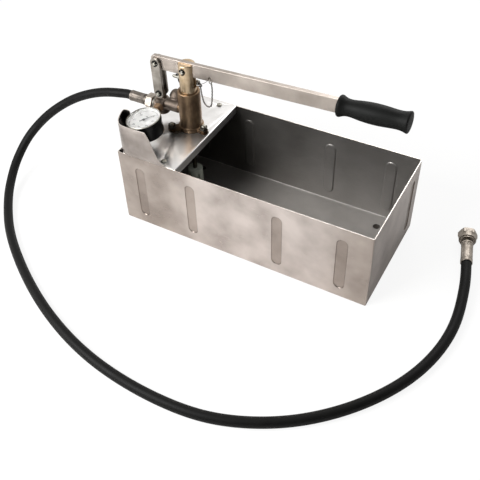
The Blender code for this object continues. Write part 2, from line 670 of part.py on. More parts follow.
def add_tank(finish):
    """Open tank of one sheet: bent box, pressed ribs, dimpled floor and tabs for the deck."""
    mesh = bmesh.new()
    bmesh.ops.create_cube(mesh, size=1.0)
    bmesh.ops.scale(mesh, vec=(TANK_LENGTH, TANK_WIDTH, TANK_HEIGHT), verts=mesh.verts[:])
    bmesh.ops.translate(mesh, vec=(0.0, 0.0, TANK_HEIGHT / 2), verts=mesh.verts[:])
    lid = max(mesh.faces, key=lambda face: face.calc_center_median().z)
    bmesh.ops.delete(mesh, geom=[lid], context="FACES_ONLY")
    bent = [edge for edge in mesh.edges if not edge.is_boundary]
    bmesh.ops.bevel(mesh, geom=bent, offset=TANK_BEND, offset_type="OFFSET", segments=BEND_STEPS,
                    profile=BEND_ROUNDNESS_SHARE, affect="EDGES", clamp_overlap=True)
    middle = RIB_FOOT + RIB_LENGTH / 2
    upright = [face for face in mesh.faces if abs(face.normal.z) < UPRIGHT_SHARE]
    walls = sorted(upright, key=lambda face: face.calc_area(), reverse=True)[:4]
    for wall in walls:
        outward = wall.normal.copy()
        if abs(outward.y) > abs(outward.x):
            side = outward.y * TANK_WIDTH / 2
            places = [Vector((share * TANK_LENGTH, side, middle)) for share in SIDE_RIB_SHARES]
        else:
            side = outward.x * TANK_LENGTH / 2
            places = [Vector((side, share * TANK_WIDTH, middle)) for share in END_RIB_SHARES]
        press_ribs(mesh, wall, places)
    bmesh.ops.recalc_face_normals(mesh, faces=mesh.faces[:])
    base = min(mesh.faces, key=lambda face: face.calc_center_median().z)
    if base.normal.z > 0.0:
        bmesh.ops.reverse_faces(mesh, faces=mesh.faces[:])
    tank = add_piece("tank", mesh, finish, Vector())
    sheet = tank.modifiers.new("sheet", "SOLIDIFY")
    sheet.thickness = SHEET
    sheet.offset = -1.0
    sheet.use_even_offset = True
    corner_x = TANK_LENGTH / 2 - DIMPLE_INSET_X
    corner_y = TANK_WIDTH / 2 - DIMPLE_INSET_Y
    for x, y in ((-corner_x, -corner_y), (-corner_x, corner_y), (corner_x, -corner_y), (corner_x, corner_y)):
        dimple = rod(DIMPLE_RADIUS, -DIMPLE_DEPTH, OVERRUN, COARSE)
        cut(tank, dimple, Vector((x, y, SHEET)), "dimple")
    tab_top = DECK_FOOT - GAP
    for index, (x, y) in enumerate(SCREW_PLACES):
        side = math.copysign(1.0, y)
        wall_y = side * (INNER_WIDTH + SHEET) / 2
        inner_y = side * (INNER_WIDTH / 2 - TAB_REACH)
        outline = [(x - TAB_LENGTH / 2, inner_y), (x + TAB_LENGTH / 2, inner_y),
                   (x + TAB_LENGTH / 2, wall_y), (x - TAB_LENGTH / 2, wall_y)]
        hole = circle(SCREW_SHANK_RADIUS + PIN_CLEARANCE, FEW, centre=(x, y))
        tab = slab(outline, [hole], SHEET)
        join(tank, tab, Vector((0.0, 0.0, tab_top - SHEET / 2)), "tab_" + str(index))
    return tank


def add_deck(finish):
    """Deck plate with a folded lip, bored for the pump and its screws."""
    right = DECK_RIGHT
    bend = circle(DECK_BEND, 3, math.pi / 2, -math.pi / 2, (right - DECK_BEND, DECK_TOP - DECK_BEND))
    fold = circle(DECK_BEND - DECK_THICKNESS, 3, 0.0, math.pi / 2,
                  (right - DECK_BEND, DECK_TOP - DECK_BEND))
    outline = ([(DECK_LEFT, DECK_FOOT), (DECK_LEFT, DECK_TOP)] + bend
               + [(right, DECK_FOOT - DECK_LIP), (right - DECK_THICKNESS, DECK_FOOT - DECK_LIP)] + fold)
    width = INNER_WIDTH - 2 * GAP
    deck = add_piece("deck_plate", slab(outline, [], width), finish, frame_at(Vector(), -BACK))
    hole = slab(circle(SPIGOT_RADIUS + 2 * PIN_CLEARANCE, ROUND), [], DECK_THICKNESS + OVERRUN)
    middle = (DECK_FOOT + DECK_TOP) / 2
    cut(deck, hole, PUMP_AXIS + UP * middle, "spigot_hole")
    for side in (-width / 2, width / 2):
        corner = slab(circle(TANK_BEND - SHEET + GAP, 4), [], DECK_THICKNESS + OVERRUN)
        cut(deck, corner, Vector((DECK_LEFT, side, middle)), "corner")
    for index, angle in enumerate(LUG_ANGLES):
        place = PUMP_AXIS + UP * middle + Vector((math.cos(angle), math.sin(angle), 0.0)) * BOLT_CIRCLE
        bolt = slab(circle(BOLT_RADIUS + PIN_CLEARANCE, COARSE), [], DECK_THICKNESS + OVERRUN)
        cut(deck, bolt, place, "bolt_hole_" + str(index))
    for index, (x, y) in enumerate(SCREW_PLACES):
        shank = slab(circle(SCREW_SHANK_RADIUS + PIN_CLEARANCE, FEW), [], DECK_THICKNESS + OVERRUN)
        cut(deck, shank, Vector((x, y, middle)), "screw_hole_" + str(index))
    return deck


def add_deck_screws(finish):
    """Four round-headed screws through the deck into the tank's tabs."""
    head = DECK_TOP + GAP
    profile = [(0.0, DECK_TOP - SCREW_REACH), (SCREW_SHANK_RADIUS, DECK_TOP - SCREW_REACH),
               (SCREW_SHANK_RADIUS, head), (SCREW_HEAD_RADIUS, head),
               (SCREW_HEAD_RADIUS * math.cos(math.pi / 6), head + SCREW_HEAD_HEIGHT / 2),
               (SCREW_HEAD_RADIUS / 2, head + SCREW_HEAD_HEIGHT), (0.0, head + SCREW_HEAD_HEIGHT)]
    places = [Vector((x, y, 0.0)) for x, y in SCREW_PLACES]
    return add_copies("deck_screw", turned(profile, COARSE), finish, places)


def add_guard(finish):
    """Bent guard sheet round the gauge: a front wing, a round corner and a side wing."""
    foot = DECK_TOP + GAP
    shoulder = foot + GUARD_HEIGHT
    toe = foot + GUARD_TOE
    corner = (GUARD_LEFT + GUARD_CORNER, GUARD_FRONT + GUARD_CORNER)
    bend = circle(GUARD_CORNER, GUARD_CORNER_STEPS, -math.pi / 2, -math.pi / 2, corner)
    stations = [(GUARD_FRONT_END, GUARD_FRONT, toe),
                (GUARD_LEFT + GUARD_FRONT_SHOULDER, GUARD_FRONT, shoulder)]
    stations += [(x, y, shoulder) for x, y in bend]
    stations += [(GUARD_LEFT, GUARD_FRONT + GUARD_SIDE_SHOULDER, shoulder),
                 (GUARD_LEFT, GUARD_FRONT + GUARD_SIDE_LENGTH, toe)]
    mesh = bmesh.new()
    columns = [(mesh.verts.new((x, y, foot)), mesh.verts.new((x, y, top))) for x, y, top in stations]
    for (low, high), (next_low, next_high) in zip(columns, columns[1:]):
        mesh.faces.new((low, high, next_high, next_low))
    guard = add_piece("gauge_guard", mesh, finish, Vector())
    sheet = guard.modifiers.new("sheet", "SOLIDIFY")
    sheet.thickness = SHEET
    sheet.offset = -1.0
    sheet.use_even_offset = True
    return guard


# Pump cylinder and what stands under it

def add_cylinder(finish):
    """Barrel with a three-eared flange, a spigot, a side boss, a gland groove and its bore."""
    ledge = CYLINDER_FOOT + FLANGE_THICKNESS / 2
    lip = circle(RIM_ROUND, 3, 0.0, math.pi / 2, (BARREL_RADIUS - RIM_ROUND, RIM_HEIGHT - RIM_ROUND))
    profile = [(0.0, SPIGOT_FOOT), (SPIGOT_RADIUS, SPIGOT_FOOT), (SPIGOT_RADIUS, ledge),
               (BARREL_RADIUS, ledge)] + lip + [(0.0, RIM_HEIGHT)]
    barrel = add_piece("pump_cylinder", turned(profile, FINE), finish, PUMP_AXIS)
    flange = slab(eared_outline(FLANGE_HUB_RADIUS, LUG_RADIUS), bolt_holes(BOLT_RADIUS + PIN_CLEARANCE),
                  FLANGE_THICKNESS)
    join(barrel, flange, PUMP_AXIS + UP * ledge, "flange")
    boss = rod(NECK_RADIUS, BORE_RADIUS, BOSS_REACH)
    delivery = frame_at(PUMP_AXIS + UP * DELIVERY_Z, LEFT)
    join(barrel, boss, delivery, "delivery_boss")
    gland_top = GLAND_FOOT + GLAND_HEIGHT
    groove = BORE_RADIUS + GLAND_DEPTH
    bore = [(0.0, SPIGOT_FOOT - OVERRUN), (PORT_RADIUS, SPIGOT_FOOT - OVERRUN), (PORT_RADIUS, BORE_FLOOR),
            (BORE_RADIUS, BORE_FLOOR), (BORE_RADIUS, GLAND_FOOT), (groove, GLAND_FOOT),
            (groove, gland_top), (BORE_RADIUS, gland_top), (BORE_RADIUS, RIM_HEIGHT - RIM_CHAMFER),
            (BORE_RADIUS + RIM_CHAMFER, RIM_HEIGHT), (BORE_RADIUS + RIM_CHAMFER, RIM_HEIGHT + OVERRUN),
            (0.0, RIM_HEIGHT + OVERRUN)]
    cut(barrel, turned(bore, FINE), PUMP_AXIS, "bore")
    cut(barrel, rod(DELIVERY_BORE, 0.0, BOSS_REACH + OVERRUN, COARSE), delivery, "delivery_port")
    return barrel


def add_gasket(finish):
    """Flat gasket between the cylinder's flange and the deck."""
    middle = circle(SPIGOT_RADIUS + 2 * PIN_CLEARANCE, ROUND)
    mesh = slab(eared_outline(FLANGE_HUB_RADIUS, LUG_RADIUS),
                [middle, *bolt_holes(BOLT_RADIUS + PIN_CLEARANCE)], GASKET_THICKNESS)
    return add_piece("cylinder_gasket", mesh, finish, PUMP_AXIS + UP * (GASKET_FOOT + GASKET_THICKNESS / 2))


def bolt_places(height):
    """The three bolts' centres at a height."""
    return [PUMP_AXIS + Vector((BOLT_CIRCLE * math.cos(angle), BOLT_CIRCLE * math.sin(angle), height))
            for angle in LUG_ANGLES]


def add_bolts(finish):
    """Three bolts from under the suction valve's flange up through the cylinder's ears."""
    length = NUT_TOP + BOLT_STICK_OUT - SUCTION_FLANGE_FOOT
    head_middle = -GAP - BOLT_HEAD_HEIGHT / 2
    shank = rod(BOLT_RADIUS, head_middle, length, COARSE)
    bolts = add_copies("flange_bolt", shank, finish, bolt_places(SUCTION_FLANGE_FOOT))
    for bolt, place in zip(bolts, bolt_places(SUCTION_FLANGE_FOOT + head_middle)):
        join(bolt, slab(hexagon(NUT_FLATS), [], BOLT_HEAD_HEIGHT), place, "head")
    return bolts


def add_nuts(finish):
    """Three hexagon nuts on top of the cylinder's ears."""
    nut = slab(hexagon(NUT_FLATS), [circle(BOLT_RADIUS + GAP, COARSE)], NUT_HEIGHT)
    return add_copies("flange_nut", nut, finish, bolt_places(NUT_FOOT + NUT_HEIGHT / 2))


def add_gland_seal(finish):
    """Ring seal in the cylinder's groove, round the plunger."""
    foot = GLAND_FOOT + GAP
    top = GLAND_FOOT + GLAND_HEIGHT - GAP
    outer = BORE_RADIUS + GLAND_DEPTH - GAP
    return add_piece("gland_seal", tube(outer, ROD_RADIUS + GAP, foot, top, FINE), finish, PUMP_AXIS)


def add_suction_valve(finish):
    """Housing of the suction ball, clamped under the deck by the flange bolts."""
    ledge = SUCTION_TOP - SUCTION_FLANGE / 2
    edge = SUCTION_BODY_RADIUS * HOUSING_EDGE_SHARE
    profile = [(0.0, SUCTION_BODY_FOOT), (edge, SUCTION_BODY_FOOT),
               (SUCTION_BODY_RADIUS, SUCTION_BODY_FOOT + SUCTION_BODY_RADIUS - edge),
               (SUCTION_BODY_RADIUS, ledge), (0.0, ledge)]
    housing = add_piece("suction_valve", turned(profile, ROUND), finish, PUMP_AXIS)
    flange = slab(eared_outline(FLANGE_HUB_RADIUS, LUG_RADIUS), bolt_holes(BOLT_RADIUS + PIN_CLEARANCE),
                  SUCTION_FLANGE)
    join(housing, flange, PUMP_AXIS + UP * ledge, "flange")
    recess = SPIGOT_RADIUS + PIN_CLEARANCE
    socket = PIPE_RADIUS + GAP
    cone = SUCTION_SEAT_Z + SUCTION_CHAMBER_RADIUS - SUCTION_SEAT_RADIUS
    socket_top = SUCTION_BODY_FOOT + PIPE_SOCKET
    bore = [(0.0, SUCTION_BODY_FOOT - OVERRUN), (socket, SUCTION_BODY_FOOT - OVERRUN), (socket, socket_top),
            (SUCTION_SEAT_RADIUS, socket_top), (SUCTION_SEAT_RADIUS, SUCTION_SEAT_Z),
            (SUCTION_CHAMBER_RADIUS, cone), (SUCTION_CHAMBER_RADIUS, CHAMBER_CEILING),
            (recess, CHAMBER_CEILING), (recess, SUCTION_TOP + OVERRUN), (0.0, SUCTION_TOP + OVERRUN)]
    return cut(housing, turned(bore, ROUND), PUMP_AXIS, "bore")


def seated_height(ball, seat):
    """Height of a ball's centre over the foot of a 45-degree seat, with the usual gap."""
    return (ball + GAP) * math.sqrt(2) - seat


def add_ball(name, radius, place, finish):
    """A valve ball with its origin at its centre."""
    mesh = bmesh.new()
    bmesh.ops.create_uvsphere(mesh, u_segments=COARSE, v_segments=COARSE // 2, radius=radius)
    return add_piece(name, mesh, finish, place)


def add_suction_pipe(finish):
    """Straight pipe from the suction valve down to the strainer."""
    top = SUCTION_BODY_FOOT + PIPE_SOCKET - GAP
    return add_piece("suction_pipe", tube(PIPE_RADIUS, PIPE_RADIUS - PIPE_WALL, PIPE_FOOT, top, COARSE),
                     finish, PUMP_AXIS)


def add_strainer(finish):
    """Slotted plastic basket round the foot of the suction pipe."""
    top = STRAINER_FOOT + STRAINER_HEIGHT
    wall = STRAINER_WALL
    profile = [(0.0, STRAINER_FOOT), (STRAINER_RADIUS, STRAINER_FOOT), (STRAINER_RADIUS, top - wall),
               (STRAINER_RADIUS - wall, top), (PIPE_RADIUS + GAP, top), (PIPE_RADIUS + GAP, top - 2 * wall),
               (STRAINER_RADIUS - wall, top - 2 * wall), (STRAINER_RADIUS - wall, STRAINER_FOOT + wall),
               (0.0, STRAINER_FOOT + wall)]
    basket = add_piece("strainer", turned(profile, ROUND), finish, PUMP_AXIS)
    height = STRAINER_HEIGHT - 2 * STRAINER_SLOT_MARGIN
    centre = PUMP_AXIS + UP * (STRAINER_FOOT + STRAINER_HEIGHT / 2)
    for index in range(STRAINER_SLOT_PAIRS):
        half_x = STRAINER_RADIUS + OVERRUN
        half_y = STRAINER_SLOT_WIDTH / 2
        bar = slab([(-half_x, -half_y), (half_x, -half_y), (half_x, half_y), (-half_x, half_y)], [], height)
        turn = Matrix.Rotation(math.pi * (index + 0.5) / STRAINER_SLOT_PAIRS, 4, "Z")
        cut(basket, bar, Matrix.Translation(centre) @ turn, "slots_" + str(index))
    return basket


# Valve body and its valves

def lug_slot():
    """Slot that lets the link's lower pin wander: a capsule along its mid-travel drift."""
    drift = lower_pin_drift()
    way = math.atan2(drift.z, drift.x)
    start = circle(PIN_HOLE, 6, way + math.pi / 2, math.pi)
    end = circle(PIN_HOLE, 6, way - math.pi / 2, math.pi, (drift.x, drift.z))
    return start + end


def link_state(angle):
    """Rod lift and link lean of the true closed linkage at a lever angle."""
    length = (LINK_TOP - LINK_FOOT).length
    reach = PUMP_X - PIN_SPACING * math.cos(LEVER_SLOPE + angle) - LINK_FOOT.x
    lean = math.asin(reach / length)
    top = LINK_FOOT.z + length * math.cos(lean)
    return top + PIN_SPACING * math.sin(LEVER_SLOPE + angle) - ROD_PIN.z, lean


def lower_pin_drift():
    """Farthest that the lower pin strays when rod and link follow the lever in proportion."""
    full_lift, full_lean = link_state(LEVER_TRAVEL)
    rest_lean = link_state(0.0)[1]
    length = (LINK_TOP - LINK_FOOT).length
    drifts = []
    for step in range(20):
        share = step / 20
        lift = full_lift * share
        lean = rest_lean + (full_lean - rest_lean) * share
        slope = LEVER_SLOPE + LEVER_TRAVEL * share
        top = ROD_PIN + UP * lift - Vector((math.cos(slope), 0.0, math.sin(slope))) * PIN_SPACING
        foot = top - Vector((math.sin(lean), 0.0, math.cos(lean))) * length
        drifts.append(foot - LINK_FOOT)
    return max(drifts, key=lambda drift: drift.length)


def add_valve_body(finish):
    """Bronze body: upright chamber, neck to the cylinder, delivery tower, link lug and bosses."""
    edge = CHAMBER_RADIUS * CHAMBER_EDGE_SHARE
    profile = [(0.0, CHAMBER_FOOT), (edge, CHAMBER_FOOT), (CHAMBER_RADIUS, CHAMBER_FOOT + CHAMBER_RADIUS - edge),
               (CHAMBER_RADIUS, CHAMBER_TOP), (0.0, CHAMBER_TOP)]
    body = add_piece("valve_body", turned(profile, FINE), finish, CHAMBER_AXIS)
    neck = frame_at(Vector((NECK_END, PUMP_Y, DELIVERY_Z)), LEFT)
    join(body, rod(NECK_RADIUS, 0.0, NECK_END - CHAMBER_X, 18), neck, "neck")
    join(body, rod(TOWER_RADIUS, TOWER_FOOT, TOWER_TOP, 20), TOWER_AXIS, "tower")
    outlet = frame_at(CHAMBER_AXIS + UP * OUTLET_Z, LEFT)
    join(body, rod(OUTLET_BOSS_RADIUS, 0.0, OUTLET_BOSS_REACH, 20), outlet, "outlet_boss")
    gauge = frame_at(CHAMBER_AXIS + UP * GAUGE_STEM_Z, -GAUGE_STEM_WAY)
    join(body, rod(GAUGE_BOSS_RADIUS, 0.0, GAUGE_BOSS_REACH, 14), gauge, "gauge_boss")
    foot = CHAMBER_TOP - CHAMBER_WALL / 2 - LINK_FOOT_Z
    cheek = [(-LUG_PLATE_RADIUS, foot), (LUG_PLATE_RADIUS, foot)]
    cheek += circle(LUG_PLATE_RADIUS, COARSE, 0.0, math.pi)
    lug = slab(cheek, [lug_slot()], LUG_PLATE_THICKNESS)
    join(body, lug, frame_at(LINK_FOOT, -BACK), "link_lug")
    ceiling = CHAMBER_TOP - CHAMBER_WALL / 2
    cut(body, rod(CHAMBER_BORE, CHAMBER_FOOT + CHAMBER_WALL, ceiling - CHAMBER_WALL / 4, ROUND),
        CHAMBER_AXIS, "chamber_bore")
    cut(body, rod(TOWER_BORE, TOWER_BORE_FLOOR, TOWER_TOP + OVERRUN, 18), TOWER_AXIS, "tower_bore")
    inlet = NECK_END - TOWER_X
    cut(body, rod(DELIVERY_BORE, -OVERRUN, inlet, COARSE), neck, "inlet_bore")
    cross = frame_at(Vector((TOWER_X, PUMP_Y, DELIVERY_Z)), BACK)
    cut(body, rod(PORT_RADIUS, -PORT_RADIUS / 2, TOWER_Y - PUMP_Y, COARSE), cross, "tower_feed")
    over = TOWER_AXIS + UP * CROSS_DRILL_Z
    way = CHAMBER_AXIS - TOWER_AXIS
    cut(body, rod(CROSS_DRILL_RADIUS, TOWER_BORE / 2, way.length, 10), frame_at(over, way), "cross_drill")
    cut(body, rod(OUTLET_BORE, 0.0, OUTLET_BOSS_REACH + OVERRUN, COARSE), outlet, "outlet_bore")
    cut(body, rod(STEM_SPIGOT_RADIUS + GAP, 0.0, GAUGE_BOSS_REACH + OVERRUN, COARSE), gauge, "gauge_bore")
    return body


def add_delivery_seat(finish):
    """Coned seat ring in the tower, under the delivery ball."""
    top = SEAT_FOOT + SEAT_HEIGHT
    profile = [(SEAT_HOLE, SEAT_FOOT), (TOWER_BORE - GAP, SEAT_FOOT), (TOWER_BORE - GAP, top),
               (SEAT_CONE, top), (SEAT_HOLE, top - (SEAT_CONE - SEAT_HOLE))]
    return add_piece("delivery_seat", turned(profile), finish, TOWER_AXIS)


def add_valve_cap(finish):
    """Domed cap screwed into the top of the delivery tower."""
    foot = TOWER_TOP + GAP
    shoulder = foot + CAP_FLANGE_HEIGHT
    dome = [(TOWER_RADIUS * math.cos(turn), shoulder + CAP_DOME_HEIGHT * math.sin(turn))
            for turn in (math.pi / 2 * step / 4 for step in range(4))]
    profile = ([(CAP_HOLLOW, foot - CAP_PLUG_LENGTH), (TOWER_BORE - GAP, foot - CAP_PLUG_LENGTH),
                (TOWER_BORE - GAP, foot), (TOWER_RADIUS, foot)] + dome
               + [(0.0, shoulder + CAP_DOME_HEIGHT), (0.0, shoulder), (CAP_HOLLOW, shoulder)])
    return add_piece("valve_cap", turned(profile, ROUND), finish, TOWER_AXIS)


# Gauge

def gauge_frame():
    """Frame of the gauge: Z out of the dial, Y toward the stem, origin at the back of the case."""
    return frame_at(GAUGE_BACK, GAUGE_NORMAL, GAUGE_STEM_WAY)


def add_gauge(finishes):
    """Case, bezel, lens, dial and stem of the gauge."""
    rim = GAUGE_DEPTH - BEZEL_LIP - GAP - LENS_THICKNESS - GAP
    dial_z = GAUGE_DEPTH - DIAL_SINK - DIAL_THICKNESS
    ledge = dial_z - GAP
    inner = CASE_RADIUS - CASE_WALL
    edge = CASE_RADIUS * CASE_EDGE_SHARE
    case = [(0.0, 0.0), (edge, 0.0), (CASE_RADIUS, CASE_RADIUS - edge), (CASE_RADIUS, rim), (inner, rim), (inner, ledge), (inner - CASE_LEDGE, ledge), (inner - CASE_LEDGE, CASE_WALL),
            (0.0, CASE_WALL)]
    cup = add_piece("gauge_case", turned(case, FINE), finishes["black"], gauge_frame())
    stem_way = frame_at(GAUGE_HEART, GAUGE_STEM_WAY)
    cut(cup, rod(STEM_RADIUS + PIN_CLEARANCE, BEZEL_SIGHT_RADIUS / 2, CASE_RADIUS + OVERRUN),
        stem_way, "stem_hole")
    skirt = GAUGE_DEPTH - BEZEL_SKIRT
    under = GAUGE_DEPTH - BEZEL_LIP
    bezel = [(CASE_RADIUS + GAP, skirt), (BEZEL_RADIUS, skirt), (BEZEL_RADIUS, GAUGE_DEPTH - BEZEL_WALL),
             (BEZEL_RADIUS - BEZEL_WALL, GAUGE_DEPTH), (BEZEL_SIGHT_RADIUS, GAUGE_DEPTH),
             (BEZEL_SIGHT_RADIUS, under), (CASE_RADIUS + GAP, under)]
    add_piece("gauge_bezel", turned(bezel, FINE), finishes["zinc"], gauge_frame())
    lens_z = rim + GAP
    add_piece("gauge_lens", rod(CASE_RADIUS, lens_z, lens_z + LENS_THICKNESS, FINE), finishes["glass"],
              gauge_frame())
    add_piece("gauge_dial", tube(inner - GAP, SPINDLE_RADIUS + GAP, dial_z, dial_z + DIAL_THICKNESS, FINE),
              finishes["white"], gauge_frame())
    stem_inner = CASE_RADIUS - STEM_INSIDE
    shoulder = GAUGE_REACH - GAUGE_BOSS_REACH - GAP
    hex_start = shoulder - STEM_HEX_LENGTH
    spigot_end = GAUGE_REACH - CHAMBER_RADIUS + CHAMBER_WALL / 2
    profile = [(0.0, stem_inner), (STEM_RADIUS, stem_inner), (STEM_RADIUS, shoulder - SHEET),
               (STEM_SPIGOT_RADIUS, shoulder - SHEET), (STEM_SPIGOT_RADIUS, spigot_end), (0.0, spigot_end)]
    stem = add_piece("gauge_stem", turned(profile), finishes["bronze"], stem_way)
    hex_mesh = slab(hexagon(STEM_HEX_FLATS), [], STEM_HEX_LENGTH)
    join(stem, hex_mesh, frame_at(GAUGE_HEART + GAUGE_STEM_WAY * (hex_start + STEM_HEX_LENGTH / 2),
                                  GAUGE_STEM_WAY), "hexagon")


def add_pointer(finish):
    """Pointer with its hub and spindle; its origin is on the gauge's axis."""
    toward = Vector((math.cos(POINTER_AZIMUTH), math.sin(POINTER_AZIMUTH), 0.0))
    dial_top = GAUGE_DEPTH - DIAL_SINK
    centre = GAUGE_BACK + GAUGE_NORMAL * (dial_top + POINTER_LIFT + POINTER_THICKNESS / 2)
    place = frame_at(centre, GAUGE_NORMAL, toward)
    half = POINTER_WIDTH / 2
    start = math.asin(half / POINTER_HUB_RADIUS)
    turn = math.pi - 2 * start
    neck = circle(POINTER_HUB_RADIUS, 5, math.pi / 2 + start, turn)
    far = circle(POINTER_HUB_RADIUS, 5, -math.pi / 2 + start, turn)
    outline = ([(half, POINTER_LENGTH / 4), (half / 3, POINTER_LENGTH), (-half / 3, POINTER_LENGTH),
                (-half, POINTER_LENGTH / 4)] + neck
               + [(-half, -POINTER_TAIL), (half, -POINTER_TAIL)] + far)
    pointer = add_piece("gauge_pointer", slab(outline, [], POINTER_THICKNESS), finish, place)
    join(pointer, rod(SPINDLE_RADIUS, -SPINDLE_LENGTH, 0.0, FEW), place, "spindle")
    return pointer


# Hose and fittings

def add_adapter(finish):
    """Outlet adapter: a hexagon against the valve body and a bored nipple into the hose nut."""
    place = frame_at(Vector((ADAPTER_FACE, PUMP_Y, OUTLET_Z)), LEFT)
    end = ADAPTER_HEX_LENGTH + GAP + ADAPTER_NIPPLE_LENGTH
    mesh = rod(ADAPTER_NIPPLE_RADIUS, ADAPTER_HEX_LENGTH / 2, end)
    adapter = add_piece("outlet_adapter", mesh, finish, place)
    middle = frame_at(Vector((ADAPTER_FACE - ADAPTER_HEX_LENGTH / 2, PUMP_Y, OUTLET_Z)), LEFT)
    join(adapter, slab(hexagon(ADAPTER_HEX_FLATS), [], ADAPTER_HEX_LENGTH), middle, "hexagon")
    cut(adapter, rod(FITTING_BORE, -OVERRUN, end + OVERRUN, COARSE), place, "bore")
    return adapter


def ferrule_profile(length, neck_length):
    """Crimped ferrule from its hose face at 0 to the neck's end, with shallow crimp grooves."""
    points = [(0.0, 0.0), (FERRULE_RADIUS - CRIMP_DEPTH, 0.0), (FERRULE_RADIUS, CRIMP_DEPTH)]
    step = length / (CRIMP_COUNT + 1)
    for index in range(CRIMP_COUNT):
        middle = step * (index + 1)
        points += [(FERRULE_RADIUS, middle - step / 4), (FERRULE_RADIUS - CRIMP_DEPTH, middle),
                   (FERRULE_RADIUS, middle + step / 4)]
    points += [(FERRULE_RADIUS, length - CRIMP_DEPTH), (FERRULE_RADIUS - CRIMP_DEPTH, length),
               (FERRULE_NECK_RADIUS, length), (FERRULE_NECK_RADIUS, length + neck_length),
               (0.0, length + neck_length)]
    return points


def add_pump_end(finishes):
    """Hose nut and crimped ferrule at the pump."""
    nut = slab(hexagon(HOSE_NUT_FLATS), [circle(HOSE_NUT_BORE, ROUND)], HOSE_NUT_LENGTH)
    middle = Vector((HOSE_NUT_FACE - HOSE_NUT_LENGTH / 2, PUMP_Y, OUTLET_Z))
    add_piece("hose_nut_pump", nut, finishes["zinc"], frame_at(middle, LEFT))
    hose_face = Vector((FERRULE_FACE - FERRULE_LENGTH, PUMP_Y, OUTLET_Z))
    profile = ferrule_profile(FERRULE_LENGTH, FERRULE_NECK_LENGTH)
    add_piece("hose_ferrule_pump", turned(profile, FERRULE_SIDES_COUNT), finishes["zinc"],
              frame_at(hose_face, -LEFT))


def smooth_route(points, count):
    """Evenly spaced points on the natural cubic curve through the route's points."""
    places = np.array([tuple(point) for point in points])
    steps = np.linalg.norm(np.diff(places, axis=0), axis=1)
    knots = np.concatenate(([0.0], np.cumsum(steps)))
    size = len(places)
    system = np.eye(size)
    pull = np.zeros_like(places)
    for index in range(1, size - 1):
        before, after = steps[index - 1], steps[index]
        system[index, index - 1:index + 2] = (before, 2 * (before + after), after)
        pull[index] = 6 * ((places[index + 1] - places[index]) / after
                           - (places[index] - places[index - 1]) / before)
    bend = np.linalg.solve(system, pull)
    dense = np.linspace(0.0, knots[-1], 40 * count)
    span = np.clip(np.searchsorted(knots, dense, side="right") - 1, 0, size - 2)
    width = steps[span][:, None]
    late = (dense[:, None] - knots[span][:, None]) / width
    early = 1.0 - late
    curve = (places[span] * early + places[span + 1] * late
             + ((early ** 3 - early) * bend[span] + (late ** 3 - late) * bend[span + 1]) * width ** 2 / 6)
    along = np.concatenate(([0.0], np.cumsum(np.linalg.norm(np.diff(curve, axis=0), axis=1))))
    even = np.linspace(0.0, along[-1], count)
    return np.stack([np.interp(even, along, curve[:, axis]) for axis in range(3)], axis=1)


def add_hose(finish):
    """Rubber hose from the pump's ferrule, down beside the tank and round it on the floor."""
    start = HOSE_ROUTE[0]
    bent = [start + LEFT * HOSE_STUB, *HOSE_ROUTE[1:-1], HOSE_END - HOSE_END_WAY * HOSE_STUB]
    smooth = [Vector((x, y, max(z, HOSE_RADIUS + GAP))) for x, y, z in smooth_route(bent, HOSE_POINTS_COUNT)]
    route = [start, *smooth, HOSE_END]
    return add_wire("hose", [route], HOSE_RADIUS, finish, False, HOSE_BEVEL_STEPS)


def add_far_end(finishes):
    """Ferrule, nose and free-spinning union nut at the hose's far end."""
    start = HOSE_END + HOSE_END_WAY * GAP
    place = frame_at(start, HOSE_END_WAY)
    neck = NOSE_NECK_RADIUS / 2
    ferrule = turned(ferrule_profile(FERRULE_LENGTH, neck), FERRULE_SIDES_COUNT)
    add_piece("hose_ferrule_far", ferrule, finishes["zinc"], place)
    nut_start = FERRULE_LENGTH + neck + GAP
    lip_end = nut_start + FAR_NUT_LIP
    flange_start = lip_end + GAP
    flange_end = flange_start + NOSE_FLANGE_LENGTH
    tip = flange_end + NOSE_LENGTH
    nose = [(FITTING_BORE, nut_start), (NOSE_NECK_RADIUS, nut_start), (NOSE_NECK_RADIUS, flange_start),
            (NOSE_FLANGE_RADIUS, flange_start), (NOSE_FLANGE_RADIUS, flange_end), (NOSE_TIP_RADIUS, tip),
            (FITTING_BORE, tip)]
    add_piece("hose_nose_far", turned(nose, ROUND), finishes["zinc"], place)
    nut_place = frame_at(start + HOSE_END_WAY * (nut_start + FAR_NUT_LENGTH / 2), HOSE_END_WAY)
    blank = slab(hexagon(HOSE_NUT_FLATS), [circle(NOSE_NECK_RADIUS + PIN_CLEARANCE, ROUND)], FAR_NUT_LENGTH)
    nut = add_piece("hose_nut_far", blank, finishes["zinc"],
                    nut_place @ Matrix.Rotation(math.pi / 2, 4, "Z"))
    cut(nut, rod(FAR_NUT_BORE, FAR_NUT_LIP - FAR_NUT_LENGTH / 2, FAR_NUT_LENGTH / 2 + OVERRUN),
        nut_place, "bore")


# Linkage

def across(place):
    """Frame for a plate that lies in the lever's upright plane."""
    return frame_at(place, -BACK)


